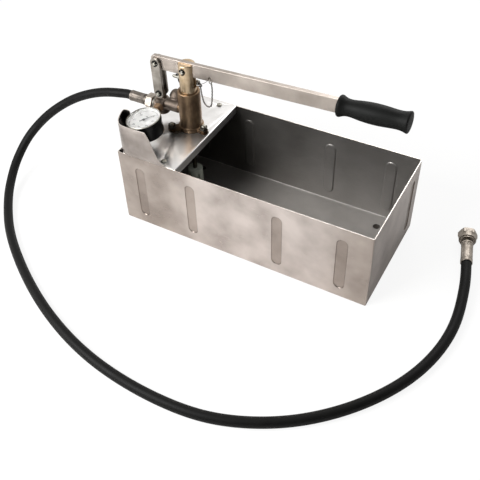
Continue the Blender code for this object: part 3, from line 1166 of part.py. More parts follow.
def add_rod(finish, pivot):
    """Plunger with a slot for the lever, a hole for its pin and one for the lock pin."""
    profile = [(0.0, ROD_FOOT), (ROD_RADIUS - ROD_CHAMFER, ROD_FOOT), (ROD_RADIUS, ROD_FOOT + ROD_CHAMFER),
               (ROD_RADIUS, ROD_TOP - ROD_CHAMFER), (ROD_RADIUS - ROD_CHAMFER, ROD_TOP), (0.0, ROD_TOP)]
    plunger = add_piece("piston_rod", turned(profile, FINE), finish, PUMP_AXIS)
    half = ROD_RADIUS + OVERRUN
    width = LEVER_THICKNESS + 2 * SIDE_CLEARANCE
    slot = slab([(-half, SLOT_FLOOR), (half, SLOT_FLOOR), (half, ROD_TOP + OVERRUN),
                 (-half, ROD_TOP + OVERRUN)], [], width)
    cut(plunger, slot, across(PUMP_AXIS), "lever_slot")
    cut(plunger, rod(PIN_HOLE, -half, half, COARSE), across(ROD_PIN), "pin_hole")
    lock = frame_at(Vector((PUMP_X, LOCK_PIN_Y, LOCK_PIN_Z)), LEFT)
    cut(plunger, rod(LOCK_PIN_RADIUS + LOCK_HOLE_CLEARANCE, -half, half, COARSE), lock, "lock_hole")
    hang(plunger, pivot)
    return plunger


def pin_profile(outside):
    """Pin along Z, with a clip groove just past each outer face."""
    groove = PIN_RADIUS - GROOVE_DEPTH
    near = outside + GAP
    far = near + CLIP_THICKNESS + 2 * GAP
    end = far + SHEET
    half = [(PIN_RADIUS, near), (groove, near), (groove, far), (PIN_RADIUS, far), (PIN_RADIUS, end)]
    lower = [(radius, -height) for radius, height in reversed(half)]
    return [(0.0, -end)] + lower + half + [(0.0, end)]


def clip_mesh():
    """Open retaining clip, centred on its pin's groove."""
    start = CLIP_OPENING / 2
    sweep = math.tau - CLIP_OPENING
    inner = PIN_RADIUS - GROOVE_DEPTH + GAP
    outline = circle(CLIP_RADIUS, 9, start, sweep) + circle(inner, 7, start + sweep, -sweep)
    return slab(outline, [], CLIP_THICKNESS)


def add_pin(name, place, outside, finish, pivot):
    """A clipped cross pin with its origin on its own axis."""
    pin = add_piece(name, turned(pin_profile(outside), COARSE), finish, across(place))
    hang(pin, pivot)
    return pin


def add_clips(name, pins, finish, pivot):
    """Retaining clips at both ends of each pin, given as (place, outside) pairs."""
    places = []
    for place, outside in pins:
        offset = outside + 2 * GAP + CLIP_THICKNESS / 2
        places += [across(place + BACK * offset), across(place - BACK * offset)]
    return add_copies(name, clip_mesh(), finish, places, pivot)


def add_lever(finish, pivot):
    """Flat lever bar with a round tail, pin holes, a chain hole and a tang for the grip."""
    half = LEVER_HEIGHT / 2
    tail = circle(half / 2, 4, math.pi / 2, math.pi / 2, (half / 2 - LEVER_TAIL, half / 2))
    tail += circle(half / 2, 4, math.pi, math.pi / 2, (half / 2 - LEVER_TAIL, -half / 2))
    end = LEVER_SHOULDER + TANG_LENGTH
    outline = tail + [(LEVER_SHOULDER, -half), (LEVER_SHOULDER, -TANG_HEIGHT / 2), (end, -TANG_HEIGHT / 2),
                      (end, TANG_HEIGHT / 2), (LEVER_SHOULDER, TANG_HEIGHT / 2), (LEVER_SHOULDER, half)]
    holes = [circle(PIN_HOLE, COARSE), circle(PIN_HOLE, COARSE, centre=(-PIN_SPACING, 0.0)),
             circle(CHAIN_HOLE_RADIUS, COARSE, centre=(CHAIN_HOLE_REACH, -CHAIN_HOLE_DROP))]
    lever = add_piece("lever", slab(outline, holes, LEVER_THICKNESS), finish, lever_frame(0.0))
    hang(lever, pivot)
    return lever


def lever_frame(distance):
    """Frame in the lever's plane: X along the lever, Y up across it, at a distance from its pin."""
    z_axis = LEVER_DIRECTION.cross(LEVER_NORMAL)
    turn = Matrix((LEVER_DIRECTION, LEVER_NORMAL, z_axis)).transposed()
    return Matrix.Translation(ROD_PIN + LEVER_DIRECTION * distance) @ turn.to_4x4()


def add_grip(finish, pivot):
    """Moulded rubber grip on the lever's tang: flared ends and a full belly."""
    stations = [(GRIP_FLARE_RADIUS * radius, GRIP_LENGTH * along)
                for radius, along in zip(GRIP_RADIUS_SHARES, GRIP_STATION_SHARES)]
    profile = [(0.0, 0.0)] + stations + [(0.0, GRIP_LENGTH)]
    start = ROD_PIN + LEVER_DIRECTION * (LEVER_SHOULDER + GAP)
    grip = add_piece("grip", turned(profile, ROUND), finish, frame_at(start, LEVER_DIRECTION))
    deep = TANG_LENGTH + GAP
    half_y = TANG_HEIGHT / 2 + GAP
    pocket = slab([(-OVERRUN, -half_y), (deep, -half_y), (deep, half_y), (-OVERRUN, half_y)], [],
                  LEVER_THICKNESS + 2 * GAP)
    cut(grip, pocket, lever_frame(LEVER_SHOULDER), "tang_pocket")
    hang(grip, pivot)
    return grip


def add_links(finish, pivot):
    """Two link plates, one each side of the lever and the valve body's lug."""
    length = (LINK_TOP - LINK_FOOT).length
    outline = capsule(length + LINK_WIDTH, LINK_WIDTH, 6)
    outline = [(x, y - length / 2) for x, y in outline]
    holes = [circle(PIN_HOLE, COARSE), circle(PIN_HOLE, COARSE, centre=(0.0, -length))]
    lean = math.atan2(LINK_FOOT.x - LINK_TOP.x, LINK_TOP.z - LINK_FOOT.z)
    for name, side in (("link_front", -LINK_OFFSET), ("link_rear", LINK_OFFSET)):
        place = across(LINK_TOP + BACK * side) @ Matrix.Rotation(lean, 4, "Z")
        plate = add_piece(name, slab(outline, holes, LINK_THICKNESS), finish, place)
        hang(plate, pivot)


# Lock pin, bow and chain

def add_lock_pin(finish, pivot):
    """Lock pin through the plunger's rear ear, with a small head toward the chain."""
    length = LOCK_PIN_RIGHT - LOCK_PIN_LEFT
    profile = [(0.0, 0.0), (LOCK_PIN_RADIUS / 2, 0.0), (LOCK_PIN_RADIUS, LOCK_PIN_RADIUS),
               (LOCK_PIN_RADIUS, length - LOCK_HEAD_LENGTH), (LOCK_HEAD_RADIUS, length - LOCK_HEAD_LENGTH),
               (LOCK_HEAD_RADIUS, length), (0.0, length)]
    place = frame_at(Vector((LOCK_PIN_LEFT, LOCK_PIN_Y, LOCK_PIN_Z)), -LEFT)
    pin = add_piece("lock_pin", turned(profile, COARSE), finish, place)
    hang(pin, pivot)
    return pin


def add_bow(finish, pivot):
    """Spring-wire bow that holds the lock pin: from its head, round behind the plunger, to its tip."""
    drop = LOCK_PIN_Z - BOW_DROP
    half_way = LOCK_PIN_Z - BOW_DROP / 2
    stand_off = LOCK_PIN_RADIUS + GAP + BOW_WIRE_RADIUS
    hook = stand_off / math.cos(BOW_HOOK_SWEEP / BOW_HOOK_STEPS / 2)
    right = LOCK_PIN_RIGHT + GAP + BOW_WIRE_RADIUS
    left = LOCK_PIN_LEFT + 2 * stand_off
    route = [Vector((right, LOCK_PIN_Y, LOCK_PIN_Z)), Vector((right, LOCK_PIN_Y, half_way))]
    for step in range(BOW_STEPS + 1):
        angle = BOW_START + (math.pi - 2 * BOW_START) * step / BOW_STEPS
        route.append(PUMP_AXIS + Vector((BOW_RADIUS * math.cos(angle), BOW_RADIUS * math.sin(angle), drop)))
    route.append(Vector((left, LOCK_PIN_Y + hook, half_way)))
    route += [Vector((left, y, z)) for y, z in
              circle(hook, BOW_HOOK_STEPS, 0.0, BOW_HOOK_SWEEP, (LOCK_PIN_Y, LOCK_PIN_Z))]
    bow = add_wire("lock_bow", [route], BOW_WIRE_RADIUS, finish, False, 1)
    hang(bow, pivot)
    return bow


def add_chain(finish, pivot):
    """Fine link chain, pulled tight link on link, from the lock pin's ring to the lever's ring."""
    dense = smooth_route(CHAIN_ROUTE, 40)
    total = float(np.sum(np.linalg.norm(np.diff(dense, axis=0), axis=1)))
    count = round(total / CHAIN_PITCH)
    places = [Vector(place) for place in smooth_route(CHAIN_ROUTE, count)]
    length = total / (count - 1) + 2 * CHAIN_WIRE_RADIUS - CHAIN_BITE
    flat, upright = bmesh.new(), bmesh.new()
    for index, place in enumerate(places):
        way = (places[min(index + 1, count - 1)] - places[max(index - 1, 0)]).normalized()
        over = BACK.cross(way).normalized()
        through = way.cross(over)
        in_plane = (count - 1 - index) % 2 == 0
        mesh, side, normal = (flat, over, through) if in_plane else (upright, through, over)
        route = [place + way * y + side * x for x, y in capsule(length, CHAIN_LINK_WIDTH, 3)]
        wire_loop(mesh, route, normal, CHAIN_WIRE_RADIUS, CHAIN_SIDES)
    for mesh in (flat, upright):
        bmesh.ops.recalc_face_normals(mesh, faces=mesh.faces[:])
    chain = add_piece("chain", flat, finish, Vector())
    join(chain, upright, Vector(), "turned_links")
    hang(chain, pivot)
    return chain


def add_rings(finish, rod_pivot, lever_pivot):
    """Split ring behind the lock pin's head and the chain's ring through the lever."""
    ring = [CHAIN_RING_CENTRE + BACK * y + UP * z for y, z in circle(CHAIN_RING_RADIUS, ROUND)]
    lever_ring = add_wire("chain_ring", [ring], CHAIN_RING_WIRE, finish, True, 1)
    hang(lever_ring, lever_pivot)
    neck = LOCK_PIN_RIGHT - LOCK_HEAD_LENGTH - GAP - PIN_RING_WIRE
    middle = Vector((neck, LOCK_PIN_Y, LOCK_PIN_Z))
    loop = [middle + BACK * y + UP * z for y, z in circle(PIN_RING_RADIUS, COARSE)]
    pin_ring = add_wire("pin_ring", [loop], PIN_RING_WIRE, finish, True, 1)
    hang(pin_ring, rod_pivot)


def main():
    """Build the pump from the tank up."""
    for item in list(bpy.data.objects):
        bpy.data.objects.remove(item)
    finishes = make_finishes()
    rod_pivot = add_pivot("rod_slide_axis", ROD_PIN)
    lever_pivot = add_pivot("lever_axis", ROD_PIN, rod_pivot)
    link_pivot = add_pivot("link_axis", LINK_TOP, lever_pivot)

    add_tank(finishes["stainless"])
    add_deck(finishes["mirror"])
    add_deck_screws(finishes["zinc"])
    add_guard(finishes["stainless"])

    add_cylinder(finishes["bronze"])
    add_gasket(finishes["seal"])
    add_bolts(finishes["zinc"])
    add_nuts(finishes["zinc"])
    add_gland_seal(finishes["seal"])
    add_suction_valve(finishes["brass"])
    suction_z = SUCTION_SEAT_Z + seated_height(SUCTION_BALL_RADIUS, SUCTION_SEAT_RADIUS)
    add_ball("suction_ball", SUCTION_BALL_RADIUS, PUMP_AXIS + UP * suction_z, finishes["zinc"])
    add_suction_pipe(finishes["brass"])
    add_strainer(finishes["strainer"])

    add_valve_body(finishes["bronze"])
    add_delivery_seat(finishes["brass"])
    cone_foot = SEAT_FOOT + SEAT_HEIGHT - (SEAT_CONE - SEAT_HOLE)
    delivery_z = cone_foot + seated_height(DELIVERY_BALL_RADIUS, SEAT_HOLE)
    add_ball("delivery_ball", DELIVERY_BALL_RADIUS, TOWER_AXIS + UP * delivery_z, finishes["zinc"])
    add_valve_cap(finishes["bronze"])
    add_gauge(finishes)
    add_pointer(finishes["black"])

    add_adapter(finishes["zinc"])
    add_pump_end(finishes)
    add_hose(finishes["rubber"])
    add_far_end(finishes)

    add_rod(finishes["brass"], rod_pivot)
    add_pin("rod_pin", ROD_PIN, ROD_RADIUS, finishes["zinc"], rod_pivot)
    add_clips("rod_clip", [(ROD_PIN, ROD_RADIUS)], finishes["spring"], rod_pivot)
    add_lock_pin(finishes["zinc"], rod_pivot)
    add_bow(finishes["spring"], rod_pivot)
    add_lever(finishes["steel"], lever_pivot)
    add_grip(finishes["rubber"], lever_pivot)
    add_chain(finishes["zinc"], lever_pivot)
    add_rings(finishes["zinc"], rod_pivot, lever_pivot)
    add_links(finishes["steel"], link_pivot)
    add_pin("link_pin_top", LINK_TOP, LINK_OUTSIDE, finishes["zinc"], link_pivot)
    add_pin("link_pin_bottom", LINK_FOOT, LINK_OUTSIDE, finishes["zinc"], link_pivot)
    add_clips("link_clip", [(LINK_TOP, LINK_OUTSIDE), (LINK_FOOT, LINK_OUTSIDE)], finishes["spring"],
              link_pivot)


main()
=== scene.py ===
"""Looks of the hand-lever test pump: a pressed steel water tank, a bronze plunger pump with its valves
and gauge on a mirror-bright deck, a flat lever with its links, and a long rubber hose.

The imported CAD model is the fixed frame. Every piece here is built in millimetres in the same frame,
turned into metres when it is finished, and rides on the CAD body that it belongs to.
"""

import logging
from dataclasses import dataclass, field
from enum import Enum
from math import asin, atan2, ceil, copysign, cos, hypot, isclose, pi, radians, sin, sqrt, tan, tau
from typing import Any, Callable, Sequence

import bmesh
import bpy
import numpy as np
from mathutils import Matrix, Vector, noise


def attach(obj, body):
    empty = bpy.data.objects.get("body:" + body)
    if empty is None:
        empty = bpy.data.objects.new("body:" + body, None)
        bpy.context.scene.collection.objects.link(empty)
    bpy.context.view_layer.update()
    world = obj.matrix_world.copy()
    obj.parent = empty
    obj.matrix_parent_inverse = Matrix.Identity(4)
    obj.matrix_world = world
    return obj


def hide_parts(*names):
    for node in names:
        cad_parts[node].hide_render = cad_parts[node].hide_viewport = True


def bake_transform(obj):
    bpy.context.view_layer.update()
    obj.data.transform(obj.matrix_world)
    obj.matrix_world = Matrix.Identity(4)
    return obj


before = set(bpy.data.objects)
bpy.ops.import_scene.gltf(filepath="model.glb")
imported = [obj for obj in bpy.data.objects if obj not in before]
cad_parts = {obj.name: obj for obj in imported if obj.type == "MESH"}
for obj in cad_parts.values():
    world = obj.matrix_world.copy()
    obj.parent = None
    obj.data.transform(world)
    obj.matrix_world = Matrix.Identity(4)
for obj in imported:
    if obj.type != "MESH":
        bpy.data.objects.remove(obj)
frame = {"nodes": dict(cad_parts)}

LOG = logging.getLogger("test_pump")
MM = 0.001
UP = Vector((0.0, 0.0, 1.0))
BACK = Vector((0.0, 1.0, 0.0))
RIGHT = Vector((1.0, 0.0, 0.0))
GAP = 0.3
SMOOTH_ANGLE = radians(38)
EASE_ANGLE = radians(40)

# Parts of the noise's range that the patches and the roughness use, and the grain's share of the roughness
PATCH_SPAN = (0.32, 0.68)
GRAIN_SPAN = (0.35, 0.65)
GRAIN_SHARE = 0.6

Point = tuple[float, float]
Place = tuple[float, float, float]
Mesh = bmesh.types.BMesh
Ring = Sequence[bmesh.types.BMVert]
Tree = bpy.types.NodeTree
Piece = bpy.types.Object


class Body(str, Enum):
    """CAD bodies that the pieces ride on."""

    BASE = "base"
    ROD = "rod"
    LEVER = "lever"
    LINK = "link"
    POINTER = "pointer"
    NUT = "far_nut"


# Nodes and colours

def linear(colour: str) -> tuple[float, float, float, float]:
    """Turn an sRGB hex colour into linear light.

    Args:
        colour: The colour as "#RRGGBB".

    Returns:
        Red, green, blue and an alpha of 1.
    """
    levels = [int(colour[place:place + 2], 16) / 255 for place in (1, 3, 5)]
    bent = [level / 12.92 if level <= 0.04045 else ((level + 0.055) / 1.055) ** 2.4 for level in levels]
    return bent[0], bent[1], bent[2], 1.0


def put(tree: Tree, kind: str, settings: dict[Any, Any] | None = None,
        links: dict[Any, Any] | None = None) -> bpy.types.Node:
    """Add a node with its settings and links.

    Args:
        tree: The node tree.
        kind: Blender's name for the node's type.
        settings: Attributes by name, or input values by socket name or number.
        links: Sources by the input's name or number: a socket, or a node for its first output.

    Returns:
        The new node.
    """
    node = tree.nodes.new(kind)
    for name, value in (settings or {}).items():
        if isinstance(name, int) or name in node.inputs:
            node.inputs[name].default_value = value
        else:
            setattr(node, name, value)
    for name, source in (links or {}).items():
        socket = source.outputs[0] if isinstance(source, bpy.types.Node) else source
        tree.links.new(socket, node.inputs[name])
    return node


def cleared(owner: bpy.types.Material | bpy.types.World) -> Tree:
    """Give a material or a world an empty node tree."""
    owner.use_nodes = True
    owner.node_tree.nodes.clear()
    return owner.node_tree


# Finishes

@dataclass(frozen=True)
class Finish:
    """A surface finish of patches and grain, with sizes in millimetres.

    Attributes:
        name: The material's name.
        slot: The record's material slot that it belongs to; not used.
        light, dark: The two hex colours that the patches run between.
        rough: Least and greatest roughness.
        metallic: 1 for a bare metal, 0 for rubber, paint and plastic.
        patch: Size of the soft patches.
        grain: Size of the fine grain.
        relief: Height of the grain.
        stretch: How much longer the grain is along X, Y and Z.
        wave: Height of the slow waves in the surface.
        wave_size: Length of the slow waves.
        pressed: Hex colour that multiplies the pressed parts, which it darkens.
        crease_shade: Hex colour of the painted shade on the slopes round them.
        shade: Hex colour of the painted shade, which multiplies where the painted_shade attribute is set.
        extra: Other inputs of the surface's shader, by name.
    """

    name: str
    slot: str
    light: str
    dark: str
    rough: tuple[float, float]
    metallic: float = 0.0
    patch: float = 30.0
    grain: float = 1.0
    relief: float = 0.0
    stretch: tuple[float, float, float] = (1.0, 1.0, 1.0)
    wave: float = 0.0
    wave_size: float = 60.0
    pressed: str = ""
    crease_shade: str = ""
    shade: str = ""
    extra: tuple[tuple[str, float], ...] = ()

    def material(self) -> bpy.types.Material:
        """Return the finish's material, made at its first use."""
        known = bpy.data.materials.get(self.name)
        return known if known else self.make()

    def make(self) -> bpy.types.Material:
        """Build the material: colour patches, roughness from the grain, and relief.

        Returns:
            The new material.
        """
        material = bpy.data.materials.new(self.name)
        material.diffuse_color = linear(self.light)
        tree = cleared(material)
        place = put(tree, "ShaderNodeTexCoord").outputs["Object"]
        scales = [1 / share for share in self.stretch]
        along = put(tree, "ShaderNodeMapping", {"Scale": scales}, {"Vector": place})
        patches = put(tree, "ShaderNodeTexNoise", {"Scale": 1 / (self.patch * MM), "Detail": 3.0}, {"Vector": place})
        spread = put(tree, "ShaderNodeMapRange", {"From Min": PATCH_SPAN[0], "From Max": PATCH_SPAN[1]},
                     {"Value": patches})
        colour = put(tree, "ShaderNodeMix", {"data_type": "RGBA", 6: linear(self.dark), 7: linear(self.light)},
                     {0: spread}).outputs[2]
        tints = []
        # The pressed parts are darker, and painted shade darkens the slopes round them
        if self.pressed:
            depth = put(tree, "ShaderNodeAttribute", {"attribute_name": "pressed"}).outputs["Fac"]
            slope = put(tree, "ShaderNodeMath", {"operation": "PINGPONG", 1: 0.5}, {0: depth})
            twice = put(tree, "ShaderNodeMath", {"operation": "MULTIPLY", 1: 2.0}, {0: slope})
            tints += [(depth, self.pressed), (twice, self.crease_shade)]
        # Painted shade multiplies in where the painted_shade attribute is set
        if self.shade:
            painted_shade = put(tree, "ShaderNodeAttribute", {"attribute_name": "painted_shade"}).outputs["Fac"]
            tints.append((painted_shade, self.shade))
        for share, tint in tints:
            colour = put(tree, "ShaderNodeMix", {"data_type": "RGBA", "blend_type": "MULTIPLY", 7: linear(tint)},
                         {0: share, 6: colour}).outputs[2]
        grain = put(tree, "ShaderNodeTexNoise", {"Scale": 1 / (self.grain * MM), "Detail": 4.0}, {"Vector": along})
        rest = put(tree, "ShaderNodeMath", {"operation": "MULTIPLY", 1: 1.0 - GRAIN_SHARE}, {0: patches})
        both = put(tree, "ShaderNodeMath", {"operation": "MULTIPLY_ADD", 1: GRAIN_SHARE}, {0: grain, 2: rest})
        rough = put(tree, "ShaderNodeMapRange", {"From Min": GRAIN_SPAN[0], "From Max": GRAIN_SPAN[1],
                                                 "To Min": self.rough[0], "To Max": self.rough[1]}, {"Value": both})
        bump = put(tree, "ShaderNodeBump", {"Distance": self.relief * MM}, {"Height": grain})
        if self.wave:
            slow = put(tree, "ShaderNodeTexNoise", {"Scale": 1 / (self.wave_size * MM), "Detail": 1.0},
                       {"Vector": place})
            bump = put(tree, "ShaderNodeBump", {"Distance": self.wave * MM},
                       {"Height": slow, "Normal": bump})
        surface = put(tree, "ShaderNodeBsdfPrincipled", {"Metallic": self.metallic, **dict(self.extra)},
                      {"Base Color": colour, "Roughness": rough, "Normal": bump})
        put(tree, "ShaderNodeOutputMaterial", links={"Surface": surface})
        return material


# Shader inputs that baked enamel, printed lacquer, glass, milky plastic and rubber with its bloom need
ENAMELLED = (("Specular IOR Level", 0.2),)
PRINTED = (("Specular IOR Level", 0.3),)
GLASSY = (("Transmission Weight", 1.0), ("IOR", 1.49))
MILKY = (("Transmission Weight", 0.12), ("IOR", 1.52))
BLOOM = (("Sheen Weight", 0.01), ("Sheen Roughness", 0.5), ("Specular IOR Level", 0.14))

# Real grain, 0.02 to 0.3 mm wide, is too fine to show from the camera, where a millimetre is less than a pixel,
# so every grain below is drawn at 0.5 mm or more

# Cold-rolled stainless sheet, left as rolled: warm grey, blurred reflections, with painted shade on the outside
# toward both ends; the ribs' floors are darker, and painted shade darkens the slopes round them
SHEET = Finish("stainless_sheet", "stainless", "#C9C0BB", "#A49B96", (0.27, 0.38), 1.0, 60.0, 1.4, 0.003,
               (9.0, 1.0, 1.0), 0.35, 80.0, "#D5D1CD", "#9D968F", "#DFDCD8")
# Inside of the same sheet, not wiped: duller; painted shade on the inner walls, lighter toward the right;
# the floor's pressed marks are darker, with painted shade on their slopes
INSIDE = Finish("stainless_inside", "stainless", "#C4C1BE", "#B0ADAA", (0.42, 0.54), 0.85, 80.0, 1.4, 0.002,
                (9.0, 9.0, 1.0), 0.25, 90.0, "#6A6560", "#57524E", "#9A9997")
# Sheared edge of the sheet: bare and slightly burred; its bright colour is partly a painted highlight along the rims
EDGE_HIGHLIGHT = Finish("sheared_edge_highlight", "stainless", "#EEE8E2", "#BDB6AF", (0.32, 0.46), 1.0, 14.0, 0.5, 0.010)
# Sheet of the guard: the same stock, more handled; painted shade darkens its left wing
GUARD_SHEET = Finish("guard_sheet", "stainless", "#A8A09B", "#8A827D", (0.28, 0.40), 1.0, 34.0, 1.4, 0.006,
                     (1.0, 1.0, 9.0), 0.20, 40.0, shade="#A9A39E")
# Back of the guard beside the enamelled gauge: in shade, oily
GUARD_BACK = Finish("guard_back", "stainless", "#4E4A48", "#3A3735", (0.30, 0.42), 1.0, 24.0, 1.4, 0.006)
# Buffed stainless deck: blurred mirror with buffing haze
DECK = Finish("buffed_deck", "mirror", "#F2F1F1", "#E2E1E0", (0.30, 0.36), 0.94, 34.0, 2.4, 0.0002,
              (1.0, 6.0, 1.0), 0.10, 60.0)
# Turned leaded bronze of the barrel and cap, browned by handling: fine lathe marks run round it
# Its shade colour is painted shade on the flange's ears
BRONZE = Finish("turned_bronze", "bronze", "#977F66", "#6F5C49", (0.42, 0.50), 1.0, 26.0, 0.8, 0.002,
                (8.0, 8.0, 1.0), 0.05, 12.0, shade="#8A827C")
# The same bronze as cast: rougher, redder skin from the sand mould
CASTING = Finish("cast_bronze", "bronze", "#80746A", "#60574F", (0.56, 0.68), 1.0, 12.0, 0.9, 0.020)
# Drawn brass plunger, turned and rubbed bright by its seal
BRASS = Finish("turned_brass", "brass", "#D0BCA0", "#AB9679", (0.32, 0.42), 1.0, 16.0, 0.5, 0.003, (10.0, 10.0, 1.0))
# Brass that stands in the water: dull brown oxide
WET_BRASS = Finish("oxidised_brass", "brass", "#5F5A50", "#45413A", (0.40, 0.55), 1.0, 10.0, 0.6, 0.006)
# Cold-drawn flat bar with dull nickel plate: satin, drawn lengthwise
LEVER_STEEL = Finish("plated_bar", "steel", "#B7AEA7", "#9B928A", (0.34, 0.46), 1.0, 40.0, 0.8, 0.002,
                     (14.0, 1.0, 1.0), 0.05, 40.0)
# Punched link plates of the same plate, greyer from oil
LINK_STEEL = Finish("oiled_link_plate", "steel", "#A09B94", "#7C766F", (0.30, 0.42), 1.0, 16.0, 0.6, 0.005,
                    (1.0, 1.0, 8.0))
# Bright zinc plate on turned steel fittings
ZINC = Finish("bright_zinc", "zinc", "#B7B5AC", "#9C9990", (0.42, 0.54), 1.0, 9.0, 0.5, 0.004)
# Nickel-plated chain, tarnished and dirty between its links
CHAIN = Finish("tarnished_chain", "zinc", "#756C65", "#433C37", (0.28, 0.42), 1.0, 3.0, 0.5, 0.004)
# Dull zinc on the crimped ferrules and the far union nut
DULL_ZINC = Finish("dull_zinc", "zinc", "#B2A9A0", "#8C847B", (0.40, 0.52), 1.0, 10.0, 0.6, 0.006)
# The ferrule at the pump: a darker copy of the dull zinc, painted shade
SHADED_ZINC = Finish("shaded_zinc", "zinc", "#7F7770", "#605A54", (0.46, 0.58), 1.0, 8.0, 0.6, 0.006)
# Nuts on the flange: zinc gone dark with oil
OILED_NUT = Finish("oiled_nut", "zinc", "#57524B", "#34312D", (0.34, 0.46), 1.0, 5.0, 0.5, 0.004)
# Blackened spring steel of the clips and the bow: an oiled oxide skin
SPRING = Finish("black_oxide_spring", "spring", "#201F1F", "#101010", (0.30, 0.45), 0.85, 6.0, 0.5, 0.004)
# Enamelled gauge case: smooth black baked enamel
ENAMEL = Finish("black_enamel", "black", "#0B0B0C", "#070708", (0.28, 0.38), 0.0, 20.0, 0.9, 0.006, extra=ENAMELLED)
# The same enamel on the pressed ring that holds the window
RING_ENAMEL = Finish("black_enamel_ring", "zinc", "#0C0C0D", "#080809", (0.26, 0.36), 0.0, 20.0, 0.9, 0.006,
                     extra=ENAMELLED)
# Printed dial plate: matt white lacquer and black ink
LACQUER = Finish("dial_lacquer", "white", "#FFFEFC", "#F7F5F3", (0.45, 0.55), 0.0, 15.0, 0.5, 0.002, extra=PRINTED)
INK = Finish("dial_ink", "white", "#3A3A3E", "#2A2A2D", (0.5, 0.6), 0.0, 5.0, 0.5, 0.001, extra=PRINTED)
# Flat clear window of the gauge, polished glass
WINDOW = Finish("window_glass", "glass", "#FFFFFF", "#FDFEFE", (0.01, 0.03), 0.0, 40.0, 5.0, extra=GLASSY)
# Injection-moulded polyethylene strainer: milky grey-green, light glows in it
STRAINER = Finish("milky_polyethylene", "strainer", "#E4E8DA", "#CFD4C6", (0.35, 0.50), 0.0, 14.0, 1.2, 0.01,
                  extra=MILKY)
# Smooth-cover hydraulic hose: matt synthetic rubber, faintly marked by its curing wrap
HOSE_RUBBER = Finish("hose_cover_rubber", "rubber", "#0C0C0B", "#070707", (0.48, 0.64), 0.0, 30.0, 0.9, 0.03,
                     extra=BLOOM)
# Moulded grip of PVC-nitrile rubber: fine mould texture
GRIP_RUBBER = Finish("moulded_grip_rubber", "rubber", "#111211", "#0B0C0B", (0.50, 0.64), 0.0, 18.0, 0.6, 0.03,
                     extra=BLOOM)
# Rubber seals, hidden but for a thin rim
SEAL = Finish("seal_rubber", "seal", "#1D1D1D", "#141414", (0.5, 0.6), 0.0, 10.0, 0.5, 0.01, extra=BLOOM)
# Vulcanised-fibre gasket under the flange: brown-grey, oil-soaked
FIBRE = Finish("fibre_gasket", "seal", "#6E6256", "#4F463D", (0.5, 0.6), 0.0, 6.0, 0.5, 0.02, extra=BLOOM)


# Outlines and solids, in millimetres

def clamp(value: float) -> float:
    """Hold a share between 0 and 1."""
    return min(max(value, 0.0), 1.0)


def eased(value: float) -> float:
    """Hold a share between 0 and 1 and round off its rise."""
    share = clamp(value)
    return share * share * (3 - 2 * share)


def polar(radius: float, angle: float) -> Point:
    """Return the point at a distance and an angle from the origin."""
    return radius * cos(angle), radius * sin(angle)


def oblong(left: float, right: float, foot: float, top: float) -> list[Point]:
    """Return the corners of a rectangle."""
    return [(left, foot), (right, foot), (right, top), (left, top)]


def arc(radius: float, steps: int, start: float = 0.0, sweep: float = tau, centre: Point = (0.0, 0.0)) -> list[Point]:
    """Return points on an arc.

    Args:
        radius: The arc's radius.
        steps: Number of steps round it.
        start: Angle of the first point.
        sweep: Angle that it covers; a full turn leaves out the repeated point.
        centre: Its centre.

    Returns:
        The points.
    """
    count = steps if isclose(abs(sweep), tau) else steps + 1
    return [(centre[0] + radius * cos(start + sweep * step / steps),
             centre[1] + radius * sin(start + sweep * step / steps)) for step in range(count)]


def capsule(length: float, width: float, steps: int) -> list[Point]:
    """Return the outline of an upright bar with round ends, centred on the origin."""
    rise = (length - width) / 2
    return arc(width / 2, steps, 0.0, pi, (0.0, rise)) + arc(width / 2, steps, pi, pi, (0.0, -rise))


def hexagon(flats: float) -> list[Point]:
    """Return a hexagon from its size across the flats."""
    return arc(flats / sqrt(3), 6)


def ring_of(mesh: Mesh, radius: float, height: float, steps: int) -> Ring:
    """Return a ring of new vertices about Z, or one vertex that stands for it on the axis."""
    if radius <= 0.0:
        return [mesh.verts.new((0.0, 0.0, height))] * steps
    return [mesh.verts.new((x, y, height)) for x, y in arc(radius, steps)]


def bridge(mesh: Mesh, rings: Sequence[Ring], closed: bool = True) -> None:
    """Join each ring of vertices to the next with faces.

    Args:
        mesh: The mesh that the rings are in.
        rings: The rings, all with the same number of vertices.
        closed: Whether the rings close on themselves, or are open rows.
    """
    for ring, following in zip(rings, rings[1:]):
        for at in range(len(ring) if closed else len(ring) - 1):
            near = (at + 1) % len(ring)
            corners = list(dict.fromkeys((ring[at], ring[near], following[near], following[at])))
            if len(corners) > 2:
                mesh.faces.new(corners)


def outward(mesh: Mesh) -> Mesh:
    """Turn a mesh's faces outwards and return it."""
    bmesh.ops.recalc_face_normals(mesh, faces=mesh.faces[:])
    return mesh


def lathe(profile: Sequence[Point], steps: int = 72) -> Mesh:
    """Turn a closed profile of radius and height about Z.

    Args:
        profile: Corners of the profile, in order.
        steps: Number of steps round the turn.

    Returns:
        A closed mesh.
    """
    mesh = bmesh.new()
    rings = [ring_of(mesh, radius, height, steps) for radius, height in profile]
    bridge(mesh, rings + rings[:1])
    return outward(mesh)


def inset(loop: Sequence[Point], depth: float) -> list[Point]:
    """Move a loop toward its left-hand side, with mitred corners.

    Args:
        loop: The loop's points.
        depth: How far it moves.

    Returns:
        The moved points.
    """
    moved = []
    for index, (x, y) in enumerate(loop):
        before, after = Vector(loop[index - 1]), Vector(loop[(index + 1) % len(loop)])
        here = Vector((x, y))
        into, out = (here - before).normalized(), (after - here).normalized()
        first, second = Vector((-into.y, into.x)), Vector((-out.y, out.x))
        shift = (first + second) * (depth / max(0.3, 1.0 + first.dot(second)))
        moved.append((x + shift.x, y + shift.y))
    return moved


